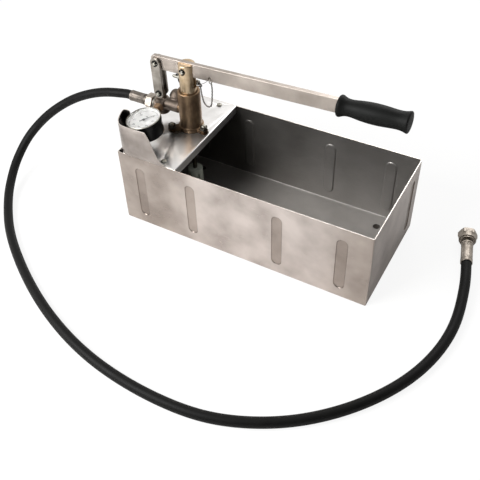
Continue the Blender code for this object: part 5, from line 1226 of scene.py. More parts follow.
@dataclass
class Pump:
    """Bronze pump cylinder on its flange, with the bolts and nuts through its ears."""

    barrel: float = 20.5
    bore: float = 15.75
    foot: float = 158.1
    rim: float = 237.0
    hub: float = 22.5
    lug: float = 7.5
    flange: float = 7.0
    fillet: float = 2.6
    boss: float = 9.6
    gland: tuple[float, float, float] = (17.95, 224.5, 229.5)
    ears: tuple[Point, ...] = ((-25.0, -26.4), (31.0, -7.0), (-11.6, 28.7))
    ear_hole: float = 4.4
    bolt_flats: float = 13.0
    bolt_head_z: float = 146.25
    nut_z: float = 168.65

    def ear_places(self) -> list[Vector]:
        """Return where the flange's ears and their bolts stand."""
        return [LAYOUT.pump + Vector((x, y, 0.0)) for x, y in self.ears]

    def eared(self) -> list[Point]:
        """Draw the outline of the round flange with its three ears.

        Returns:
            The outline's points.
        """
        points: list[Point] = []
        half = asin(self.lug / self.hub)
        angles = [atan2(y, x) for x, y in self.ears]
        for index, (angle, centre) in enumerate(zip(angles, self.ears)):
            points += arc(self.lug, 14, angle - pi / 2, pi, centre)
            sweep = (angles[(index + 1) % 3] - angle) % tau - 2 * half
            points += arc(self.hub, 14, angle + half, sweep)
        return points

    def build_cylinder(self) -> None:
        """Build the turned barrel with its cast flange, side boss, bore and gland groove."""
        foot, rim, barrel, bore, round_off = self.foot, self.rim, self.barrel, self.bore, self.fillet
        ledge = foot + self.flange
        fillet = [(barrel + round_off - round_off * cos(turn), ledge + round_off - round_off * sin(turn))
                  for turn in (pi / 2 * step / 6 for step in range(6, 0, -1))]
        lip = arc(1.6, 6, 0.0, pi / 2, (barrel - 1.6, rim - 1.6))
        groove, groove_foot, groove_top = self.gland
        profile = ([(3.5, foot - 9.0), (11.4, foot - 9.0), (12.0, foot - 8.4), (12.0, foot + 2.0),
                    (barrel, foot + 2.0), (barrel, ledge - 0.5), (barrel + round_off, ledge - 0.4)] + fillet
                   + [(barrel, ledge + round_off), (barrel, rim - 7.4)] + lip
                   + [(bore + 1.0, rim), (bore, rim - 1.0), (bore, groove_top), (groove, groove_top),
                      (groove, groove_foot), (bore, groove_foot), (bore, 167.0), (3.5, 167.0)])
        made = blank(lathe(profile, 96), Matrix.Translation(LAYOUT.pump))
        holes = [arc(self.ear_hole, 24, centre=centre) for centre in self.ears]
        flange = blank(plate(self.eared(), [arc(barrel - 1.0, 64)] + holes, self.flange, 0.8),
                       Matrix.Translation(LAYOUT.pump + UP * (foot + self.flange / 2)))
        side = frame_at(LAYOUT.pump + UP * LAYOUT.port_z, -RIGHT)
        boss = blank(lathe([(4.0, bore + 0.5), (self.boss, bore + 0.5), (self.boss, 24.7), (self.boss - 0.3, 25.0),
                            (4.0, 25.0)], 48), side)
        port = blank(bar(4.0, bore - 3.0, 26.0), side)
        made = shaped(made, joins=[flange, boss], cuts=[port])
        # Painted shade beyond the hub's radius, mostly on the flange's ears
        axis = LAYOUT.pump.xy
        paint(made, "painted_shade", lambda place: clamp(((place.xy - axis).length - self.hub + 0.5) / 3.0))
        publish(made, "pump_barrel", (BRONZE,), ["pump_cylinder"])

    def build_bolts(self) -> None:
        """Build one bolt and one nut and stand three of each in the flange's ears."""
        shank = [(0.0, 148.5), (4.0, 148.5)]
        shank += [(4.0 if turn % 4 < 2 else 3.75, 171.4 + turn * 0.2) for turn in range(16)]
        shank += [(3.4, 174.8), (2.4, 175.2), (0.0, 175.3)]
        head = moved(nut_blank(self.bolt_flats, 5.3, 0.0), lift(self.bolt_head_z))
        bolt = together([blank(lathe(shank, 32)), head])
        publish(on_places(bolt, self.ear_places(), ZINC), "flange_studs", (ZINC,), numbered("flange_bolt", 3))
        nut = moved(nut_blank(self.bolt_flats, 6.5, 4.3, 0.5), lift(self.nut_z))
        publish(on_places(nut, self.ear_places(), OILED_NUT), "flange_nuts", (OILED_NUT,), numbered("flange_nut", 3))

    def build(self) -> None:
        """Build the cylinder and its fasteners, and dress the pieces under the deck."""
        self.build_cylinder()
        self.build_bolts()
        for node, finish in (("cylinder_gasket", FIBRE), ("gland_seal", SEAL), ("suction_valve", WET_BRASS),
                             ("suction_pipe", WET_BRASS), ("delivery_seat", BRASS), ("suction_ball", ZINC),
                             ("delivery_ball", ZINC)):
            dress(node, finish)
        self.build_strainer()

    @staticmethod
    def build_strainer() -> None:
        """Build the moulded strainer with its slots round the foot of the suction pipe."""
        low, high, radius, wall = 12.0, 62.0, 14.5, 1.6
        profile = [(0.0, low), (radius - 0.8, low), (radius, low + 0.8), (radius, high - 1.6),
                   (radius - 0.6, high - 0.5), (radius - 1.6, high), (4.3, high), (4.3, high - 2 * wall),
                   (radius - wall, high - 2 * wall), (radius - wall, low + wall), (0.0, low + wall)]
        made = blank(lathe(profile, 64), Matrix.Translation(LAYOUT.pump))
        slots = [blank(plate(oblong(-18.5, 18.5, -1.5, 1.5), [], 34.0), Matrix.Translation(LAYOUT.pump + UP * 37.0)
                       @ Matrix.Rotation(pi * (index + 0.5) / 3, 4, "Z")) for index in range(3)]
        publish(shaped(made, cuts=slots), "strainer_basket", (STRAINER,), ["strainer"])


@dataclass
class Valves:
    """Cast valve body with its chamber, neck, tower and lug, and the domed cap on the tower."""

    voxel: float = 0.7
    tower_radius: float = 12.0
    neck_x: float = -183.0
    slot_radius: float = 3.4
    slot_drift: Point = (-4.341, -2.672)

    @staticmethod
    def rods(table: Sequence[tuple[Matrix, tuple[float, ...]]]) -> list[Piece]:
        """Stand a bar on each place of a table: radius, foot, top, and maybe its chamfer and steps."""
        return [blank(bar(*sizes), place) for place, sizes in table]

    def lug(self) -> Mesh:
        """Build the upright plate that carries the links' lower pin."""
        outline = [(-11.0, -17.0), (8.5, -17.0)] + arc(9.5, 24, 0.0, pi, (-1.6, -1.4))
        return plate(outline, [], 8.0, 0.4)

    def slot(self) -> list[Point]:
        """Return the outline of the lug's slot, along the lower pin's small drift."""
        way = atan2(self.slot_drift[1], self.slot_drift[0])
        return (arc(self.slot_radius, 12, way + pi / 2, pi)
                + arc(self.slot_radius, 12, way - pi / 2, pi, self.slot_drift))

    def build(self) -> None:
        """Build the casting, its cavities and its cap."""
        chamber, tower = Matrix.Translation(LAYOUT.chamber), Matrix.Translation(LAYOUT.tower)
        neck = frame_at(Vector((self.neck_x, LAYOUT.chamber.y, LAYOUT.port_z)), -RIGHT)
        outlet = frame_at(LAYOUT.chamber + UP * LAYOUT.outlet_z, -RIGHT)
        gauge = frame_at(LAYOUT.chamber + UP * LAYOUT.gauge_z, -LAYOUT.stem_way)
        link, radius = across(LAYOUT.link_foot), self.tower_radius
        made = together(self.rods((
            (chamber, (13.0, 174.0, 204.0, 1.8, 64)), (neck, (10.8, 0.0, 33.0, 0.3)),
            (tower, (radius, 178.0, 206.0, 1.0, 64)), (outlet, (11.0, 0.0, 15.0, 0.6)),
            (gauge, (7.8, 0.0, 20.0, 0.5)))) + [blank(self.lug(), link)])
        skin = made.modifiers.new("skin", "REMESH")
        skin.mode, skin.voxel_size, skin.use_smooth_shade = "VOXEL", self.voxel, True
        ease = made.modifiers.new("ease", "SMOOTH")
        ease.factor, ease.iterations = 0.5, 4
        made = baked(made)
        cutters = self.rods((
            (chamber, (7.0, 179.5, 199.9)), (tower, (7.0, 184.5, 210.0)), (neck, (10.0, -4.0, 3.3)),
            (neck, (4.0, -4.0, 14.0)), (outlet, (5.0, 0.0, 19.0)), (gauge, (5.1, 0.0, 24.0))))
        cutters.append(blank(plate(self.slot(), [], 12.0), link))
        publish(shaped(made, cuts=cutters), "valve_casting", (CASTING,), ["valve_body"], angle=radians(50))
        dome = [(radius - 0.6, 210.0), (radius - 2.0, 212.6), (radius - 4.4, 216.0), (radius - 6.8, 218.2),
                (radius - 9.0, 219.0)]
        cap = lathe([(4.8, 203.3), (6.7, 203.3), (6.7, 206.3), (radius - 0.4, 206.3), (radius, 206.7),
                     (radius, 208.6), (radius - 0.3, 208.9), (radius - 0.3, 209.2)] + dome
                    + [(0.0, 219.1), (0.0, 209.3), (4.8, 209.3)], 64)
        publish(blank(cap, tower), "tower_cap", (CASTING,), ["valve_cap"])


@dataclass
class Gauge:
    """Pressure gauge: enamelled case, bezel, window, printed dial, pointer and stem."""

    reach: float = 85.4
    depth: float = 34.0
    stem_depth: float = 21.6
    level: float = 17.6
    facing: Vector = field(default_factory=lambda: Vector((-0.128, -0.090, 0.9877)))
    case_radius: float = 30.0
    bezel_radius: float = 31.4
    sight_radius: float = 29.9
    scale_radius: float = 26.2
    zero: float = radians(36)
    sweep: float = radians(270)
    marks: int = 6
    fine_marks: int = 30
    step: int = 10
    needle_drop: float = 0.75
    ink: float = 0.04
    number_size: float = 5.4
    number_radius: float = 18.6
    word_size: float = 4.2
    word_radius: float = 10.0
    origin: Vector = field(init=False)
    frame: Matrix = field(init=False)
    needle: Matrix = field(init=False)

    def __post_init__(self) -> None:
        """Work out the frames at the back of the case and at the pointer's hub: Z out, Y toward the stem."""
        self.origin = LAYOUT.chamber + UP * LAYOUT.gauge_z - LAYOUT.stem_way * self.reach
        hub = self.origin + LAYOUT.gauge_normal * self.level
        facing = self.facing.normalized()
        self.frame = frame_at(hub - facing * (self.level + self.depth - self.stem_depth), facing, LAYOUT.stem_way)
        self.needle = frame_at(hub + LAYOUT.gauge_normal * -self.needle_drop, LAYOUT.gauge_normal, LAYOUT.stem_way)

    def build_case(self) -> None:
        """Build the case, the bezel and the window."""
        wall, rim = self.case_radius, self.depth - 7.6
        case = ([(0.0, 0.0), (25.0, 0.0)] + arc(3.0, 6, -pi / 2, pi / 2, (wall - 3.0, 3.0))
                + [(wall, rim), (wall - 1.5, rim), (wall - 1.5, 1.5), (0.0, 1.5)])
        stem = frame_at(self.origin, LAYOUT.stem_way)
        cup = shaped(blank(lathe(case, 96), self.frame), cuts=[blank(bar(7.2, 15.0, 37.0), stem)])
        publish(cup, "gauge_cup", (ENAMEL,), ["gauge_case"])
        wall, top, inner = self.bezel_radius, self.depth, self.case_radius + 0.3
        sight = self.sight_radius
        bezel = [(inner, top - 10.0), (wall - 0.3, top - 10.0), (wall, top - 9.7), (wall, top - 1.6),
                 (wall - 0.4, top - 0.6), (wall - 1.2, top), (sight + 0.3, top), (sight, top - 0.4),
                 (sight, top - 1.2), (inner, top - 1.2)]
        ring = blank(lathe(bezel, 96))
        for face in ring.data.polygons:
            face.material_index = 1 if face.center.z < top - 1.7 and face.center.xy.length > wall - 0.6 else 0
        publish(moved(ring, self.frame), "gauge_rim", (ZINC, RING_ENAMEL), ["gauge_bezel"])
        glass = bar(self.case_radius, top - 2.9, top - 1.5, 0.1, 96)
        publish(blank(glass, self.frame), "gauge_window", (WINDOW,), ["gauge_lens"])

    def build_dial(self) -> None:
        """Build the dial plate with its printed marks and plain numbers."""
        level = self.depth - 6.6
        edge = self.case_radius - 0.1
        face = lathe([(1.2, level - 0.6), (edge, level - 0.6), (edge, level + 3.5), (edge - 0.7, level + 3.5),
                      (edge - 1.4, level), (1.2, level)], 96)
        publish(blank(face, self.frame), "dial_plate", (LACQUER,), ["gauge_dial"])
        marks = []
        for count, length, width in ((self.marks, 4.6, 0.65), (self.fine_marks, 2.6, 0.32)):
            stroke = plate(oblong(-length, 0.0, -width / 2, width / 2), [], self.ink)
            marks.append(repeated(Repeat.ROUND_ARC, blank(stroke), INK, count=count + 1,
                                  radius=self.scale_radius, start=self.zero, step=-self.sweep / count))
        ring = plate(arc(self.scale_radius + 0.3, 96), [arc(self.scale_radius - 0.1, 96)], self.ink)
        upright = self.zero - self.sweep / 2 - pi / 2
        words = [(str(number * self.step), self.number_size,
                  polar(self.number_radius, self.zero - self.sweep * number / self.marks))
                 for number in range(self.marks + 1)]
        words.append(("bar", self.word_size, polar(self.word_radius, upright - pi / 2)))
        printed = [*marks, blank(ring), *(self.word(*word, upright) for word in words)]
        publish(moved(together(printed), self.frame @ lift(level + 0.03)), "dial_print", (INK,))

    @staticmethod
    def word(text: str, size: float, place: Point, turn: float) -> Piece:
        """Make a flat word or number.

        Args:
            text: What it says.
            size: Height of its letters.
            place: Its middle.
            turn: Its turn about Z.

        Returns:
            The word.
        """
        curve = bpy.data.curves.new("word", "FONT")
        curve.body, curve.size, curve.extrude = text, size, 0.02
        curve.align_x, curve.align_y = "CENTER", "CENTER"
        return moved(baked(added("word", curve)), Matrix.Translation((*place, 0.0)) @ Matrix.Rotation(turn, 4, "Z"))

    def build_pointer(self) -> None:
        """Build the tapered pointer with its hub and spindle, which turns on the gauge's axis."""
        outline = [(0.7, 4.0), (0.2, 21.0), (-0.2, 21.0), (-0.7, 4.0), (-0.8, -7.0), (-1.5, -8.4),
                   (1.5, -8.4), (0.8, -7.0)]
        made = together([blank(plate(outline, [], 0.4, 0.08)), blank(bar(2.6, -0.3, 0.4, 0.15)),
                         blank(bar(0.9, -3.0, 0.0))])
        publish(moved(made, self.needle @ Matrix.Rotation(self.zero - pi / 2, 4, "Z")), "pointer_needle", (INK,),
                ["gauge_pointer"], body=Body.POINTER)

    def build_stem(self) -> None:
        """Build the stem with its hexagon between the case and the valve body."""
        shoulder = self.reach - 20.3
        made = blank(lathe([(0.0, 20.0), (6.8, 20.0), (6.8, shoulder - 1.5), (4.8, shoulder - 1.5),
                            (4.8, 75.1), (0.0, 75.1)], 48), frame_at(self.origin, LAYOUT.stem_way))
        hexed = moved(nut_blank(17.0, 11.0, 0.0),
                      frame_at(self.origin + LAYOUT.stem_way * (shoulder - 5.5), LAYOUT.stem_way))
        publish(shaped(made, joins=[hexed]), "gauge_neck", (BRONZE,), ["gauge_stem"])

    def build(self) -> None:
        """Build the whole gauge."""
        for step in (self.build_case, self.build_dial, self.build_pointer, self.build_stem):
            step()


@dataclass
class Linkage:
    """Slotted plunger, flat lever with its grip, two link plates, and their clipped pins."""

    rod_radius: float = 15.0
    rod_top: float = 291.5
    slot_floor: float = 245.2
    lever_thickness: float = 8.0
    lever_height: float = 25.5
    lever_tail: float = 71.5
    shoulder: float = 282.2
    tang: float = 91.0
    tang_height: float = 16.0
    pin_spacing: float = 61.0
    pin_radius: float = 3.0
    hole_radius: float = 3.4
    link_width: float = 20.0
    link_thickness: float = 5.0
    grip_length: float = 115.2
    grip_radius: float = 17.8
    grip_shape: tuple[Point, ...] = (
        (0.0, 0.86), (0.008, 0.95), (0.022, 1.0), (0.04, 0.985), (0.07, 0.90), (0.11, 0.81), (0.16, 0.775),
        (0.22, 0.795), (0.30, 0.86), (0.40, 0.92), (0.50, 0.945), (0.60, 0.935), (0.70, 0.895), (0.78, 0.855),
        (0.85, 0.84), (0.91, 0.87), (0.95, 0.93), (0.975, 0.98), (0.988, 0.985), (0.997, 0.94), (1.0, 0.86))

    def build_rod(self) -> None:
        """Build the plunger with its slot, pin hole and lock-pin hole."""
        radius, top = self.rod_radius, self.rod_top
        made = blank(lathe([(0.0, 170.0), (radius - 1.0, 170.0), (radius, 171.0), (radius, top - 1.0),
                            (radius - 1.0, top), (0.0, top)], 96), Matrix.Translation(LAYOUT.pump))
        slot = blank(plate(oblong(-20.0, 20.0, self.slot_floor, top + 4.0), [], self.lever_thickness + 2 * GAP),
                     across(LAYOUT.pump))
        pin, lock = (blank(bar(self.hole_radius, -20.0, 20.0), place)
                     for place in (across(LAYOUT.rod_pin), frame_at(LAYOUT.lock, -RIGHT)))
        publish(shaped(made, cuts=[slot, pin, lock], ease=0.35), "plunger", (BRASS,), ["piston_rod"], body=Body.ROD)

    def pin(self, place: Vector, outside: float) -> Piece:
        """Build a cross pin with clip grooves and domed ends.

        Args:
            place: The pin's middle.
            outside: Distance from there to the outer faces that it holds.

        Returns:
            The pin.
        """
        near = outside + GAP
        far, groove, radius = near + 1.5, self.pin_radius - 0.7, self.pin_radius
        half = [(radius, near), (groove, near), (groove, far), (radius, far), (radius, far + 0.9),
                (radius - 0.5, far + 1.4), (0.0, far + 1.5)]
        profile = [(radius_at, -height) for radius_at, height in reversed(half)] + half
        return blank(lathe(profile, 40), across(place))

    def clip(self) -> Piece:
        """Build an E-shaped retaining clip with three inner prongs, flat in Z.

        Returns:
            The clip.
        """
        opening, facing = radians(64), radians(218)
        outer = arc(6.0, 30, opening / 2, tau - opening)
        inner: list[Point] = []
        for step in range(31):
            angle = opening / 2 + (tau - opening) * (1 - step / 30)
            prong = any(abs(angle - at) < radians(17) for at in (pi * 0.30, pi, pi * 1.70))
            inner.append(polar(2.65 if prong else 4.1, angle))
        return blank(plate(outer + inner, [], 0.9, 0.12), Matrix.Rotation(facing, 4, "Z"))

    def clips(self, pins: Sequence[tuple[Vector, float]]) -> Piece:
        """Stand a clip in both grooves of each pin.

        Args:
            pins: Each pin's middle, and the distance from there to the outer faces that it holds.

        Returns:
            The clips as one object.
        """
        template = moved(self.clip(), across(Vector()))
        places = []
        for place, outside in pins:
            offset = outside + 2 * GAP + 0.45
            places += [place + BACK * offset, place - BACK * offset]
        return on_places(template, places, SPRING)

    def build_lever(self) -> None:
        """Build the flat lever bar with its holes and its tang."""
        half, low = self.lever_height / 2, self.tang_height / 2
        corner, shoulder, end = half / 2, self.shoulder, self.shoulder + self.tang
        outline = (arc(corner, 8, pi / 2, pi / 2, (corner - self.lever_tail, half - corner))
                   + arc(corner, 8, pi, pi / 2, (corner - self.lever_tail, corner - half))
                   + [(shoulder, -half), (shoulder, -low), (end, -low), (end, low), (shoulder, low), (shoulder, half)])
        holes = [arc(self.hole_radius, 24), arc(self.hole_radius, 24, centre=(-self.pin_spacing, 0.0)),
                 arc(2.5, 20, centre=LAYOUT.chain_hole)]
        made = blank(plate(outline, holes, self.lever_thickness, 0.35), LAYOUT.lever_frame(0.0))
        publish(made, "lever_bar", (LEVER_STEEL,), ["lever"], body=Body.LEVER)

    def build_grip(self) -> None:
        """Build the moulded grip with belled ends and a full belly."""
        stations = smooth_route([(radius * self.grip_radius, along * self.grip_length, 0.0)
                                 for along, radius in self.grip_shape], 70)
        profile = ([(0.0, 1.2), (9.0, 1.2), (13.4, 0.4)] + [(point.x, max(point.y, 0.0)) for point in stations]
                   + [(12.0, self.grip_length + 0.5), (6.0, self.grip_length + 0.7), (0.0, self.grip_length + 0.8)])
        start = LAYOUT.rod_pin + LAYOUT.lever_way * (self.shoulder + GAP)
        made = blank(lathe(profile, 72), frame_at(start, LAYOUT.lever_way))
        deep, half = self.tang + GAP, self.tang_height / 2 + GAP
        pocket = blank(plate(oblong(-4.0, deep, -half, half), [], self.lever_thickness + 2 * GAP),
                       LAYOUT.lever_frame(self.shoulder))
        publish(shaped(made, cuts=[pocket]), "grip_moulding", (GRIP_RUBBER,), ["grip"], body=Body.LEVER,
                angle=radians(60))

    def build_links(self) -> None:
        """Build the two link plates with their pins and clips."""
        top, foot = LAYOUT.link_top, LAYOUT.link_foot
        length = (top - foot).length
        outline = [(x, y - length / 2) for x, y in capsule(length + self.link_width, self.link_width, 18)]
        holes = [arc(self.hole_radius, 24), arc(self.hole_radius, 24, centre=(0.0, -length))]
        turn = Matrix.Rotation(atan2(foot.x - top.x, top.z - foot.z), 4, "Z")
        offset = self.lever_thickness / 2 + GAP + self.link_thickness / 2
        for side, way in (("front", -offset), ("rear", offset)):
            made = blank(plate(outline, holes, self.link_thickness, 0.6), across(top + BACK * way) @ turn)
            publish(made, f"link_plate_{side}", (LINK_STEEL,), [f"link_{side}"], body=Body.LINK)
        outside = offset + self.link_thickness / 2
        for name, node, place in (("upper_link_pin", "link_pin_top", top), ("lower_link_pin", "link_pin_bottom", foot)):
            publish(self.pin(place, outside), name, (ZINC,), [node], body=Body.LINK)
        publish(self.clips([(top, outside), (foot, outside)]), "link_e_clips", (SPRING,), numbered("link_clip", 4),
                body=Body.LINK)

    def build(self) -> None:
        """Build the plunger, its pin, the lever, the grip and the links."""
        self.build_rod()
        publish(self.pin(LAYOUT.rod_pin, self.rod_radius), "plunger_pin", (ZINC,), ["rod_pin"], body=Body.ROD)
        publish(self.clips([(LAYOUT.rod_pin, self.rod_radius)]), "plunger_e_clips", (SPRING,), numbered("rod_clip", 2),
                body=Body.ROD)
        self.build_lever()
        self.build_grip()
        self.build_links()


@dataclass
class LockPin:
    """Lock pin across the plunger with its spring bow, its ring, and the fine chain to the lever."""

    left: float = -199.0
    right: float = -143.5
    bow_wire: float = 1.15
    chain_wire: float = 0.5
    chain_pitch: float = 3.3
    link_width: float = 2.1
    strand: float = 0.45
    head_ring: Place = (-147.9, 4.2, 0.6)
    lever_ring: Point = (5.6, 0.8)
    bow_lay: tuple[Place, ...] = (
        (-142.4, 25.0, 245.5), (-145.5, 31.5, 238.0), (-153.0, 36.0, 232.5), (-163.0, 37.2, 230.5),
        (-174.0, 35.0, 230.0), (-184.0, 30.5, 231.0), (-190.0, 27.5, 236.0))
    lay: tuple[Place, ...] = (
        (-143.0, 15.0, 259.0), (-141.2, 15.8, 254.0), (-138.6, 16.4, 248.0), (-137.0, 16.2, 238.5),
        (-135.4, 15.8, 229.0), (-133.2, 15.4, 220.5), (-129.2, 15.0, 213.8), (-123.8, 14.6, 211.4),
        (-118.4, 14.2, 213.8), (-115.2, 13.6, 220.5), (-113.4, 13.0, 231.0), (-112.2, 12.6, 243.0),
        (-111.6, 12.2, 255.0), (-112.4, 12.0, 263.8))
    stay: tuple[Place, ...] = (
        (-142.8, 13.4, 254.2), (-136.0, 9.6, 256.8), (-126.5, 6.9, 262.6), (-118.8, 6.2, 268.4),
        (-114.8, 6.4, 273.0), (-113.4, 7.4, 274.4))

    def build_pin(self) -> None:
        """Build the pin with its pointed tip and its collared head."""
        length = self.right - self.left
        profile = [(0.0, 0.0), (1.2, 0.2), (2.6, 1.8), (3.0, 3.2), (3.0, length - 3.8), (2.6, length - 3.6),
                   (2.6, length - 3.2), (4.1, length - 3.2), (4.5, length - 2.9), (4.5, length - 0.7),
                   (3.9, length), (0.0, length)]
        made = blank(lathe(profile, 40), frame_at(Vector((self.left, LAYOUT.lock.y, LAYOUT.lock.z)), RIGHT))
        publish(made, "lock_pin_bar", (ZINC,), ["lock_pin"], body=Body.ROD)

    def build_bow(self) -> None:
        """Build the spring-wire bow from the pin's head, behind the plunger, to its tip."""
        radius, (_, side, height) = self.bow_wire, LAYOUT.lock
        stand_off = 3.0 + GAP + radius
        hook = arc(stand_off / cos(radians(15)), 4, 0.0, radians(120), (side, height))
        right, left = self.right + GAP + radius, self.left + 2 * stand_off
        coarse = [(right, side, height), *self.bow_lay, *((left, y, z) for y, z in hook)]
        made = blank(wire(smooth_route(coarse, 120), radius, 12))
        publish(made, "bow_wire", (SPRING,), ["lock_bow"], body=Body.ROD)

    def ring(self, middle: Vector, radius: float, thickness: float) -> Piece:
        """Build a split ring of two turns in the plane across X.

        Args:
            middle: The ring's middle.
            radius: Radius of its turns.
            thickness: Gauge of its wire.

        Returns:
            The ring.
        """
        steps, turn = 64, 2 * tau
        route = [middle + Vector((0.9 * thickness * (2 * step / steps - 1.0), *polar(radius, turn * step / steps)))
                 for step in range(steps + 1)]
        return blank(wire(route, thickness * 0.62, 10))

    def build_rings(self) -> None:
        """Build the ring behind the pin's head and the chain's ring through the lever."""
        x, radius, thickness = self.head_ring
        publish(self.ring(Vector((x, LAYOUT.lock.y, LAYOUT.lock.z)), radius, thickness), "head_ring", (ZINC,),
                ["pin_ring"], body=Body.ROD)
        radius, thickness = self.lever_ring
        along, drop = LAYOUT.chain_hole
        hole = LAYOUT.rod_pin + LAYOUT.lever_way * along + LAYOUT.lever_up * drop
        publish(self.ring(hole - UP * radius, radius, thickness), "lever_ring", (ZINC,), ["chain_ring"],
                body=Body.LEVER)

    def build_chain(self) -> None:
        """Lay fine links along the chain's curve, every second one turned by a quarter."""
        places = smooth_route(self.lay, 90)
        length = run_of(places)
        curve = bpy.data.curves.new("chain_way", "CURVE")
        curve.dimensions = "3D"
        spline = curve.splines.new("POLY")
        spline.points.add(len(places) - 1)
        for point, place in zip(spline.points, places):
            point.co = (*place, 1.0)
        outer = self.chain_pitch + 2.4 * self.chain_wire
        link = [Vector((y, x, 0.0)) for x, y in capsule(outer, self.link_width, 5)]
        made = repeated(Repeat.ALONG_CURVE, blank(wire(link, self.chain_wire, 6, True)), CHAIN,
                        added("chain_way", curve), count=round(length / self.chain_pitch) + 1, step=pi / 2)
        made = together([made, blank(wire(smooth_route(self.stay, 40), self.strand, 8))])
        publish(made, "chain_links", (CHAIN,), ["chain"], body=None, angle=radians(80))
        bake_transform(made)

    def build(self) -> None:
        """Build the lock pin and what hangs on it."""
        for step in (self.build_pin, self.build_bow, self.build_rings, self.build_chain):
            step()


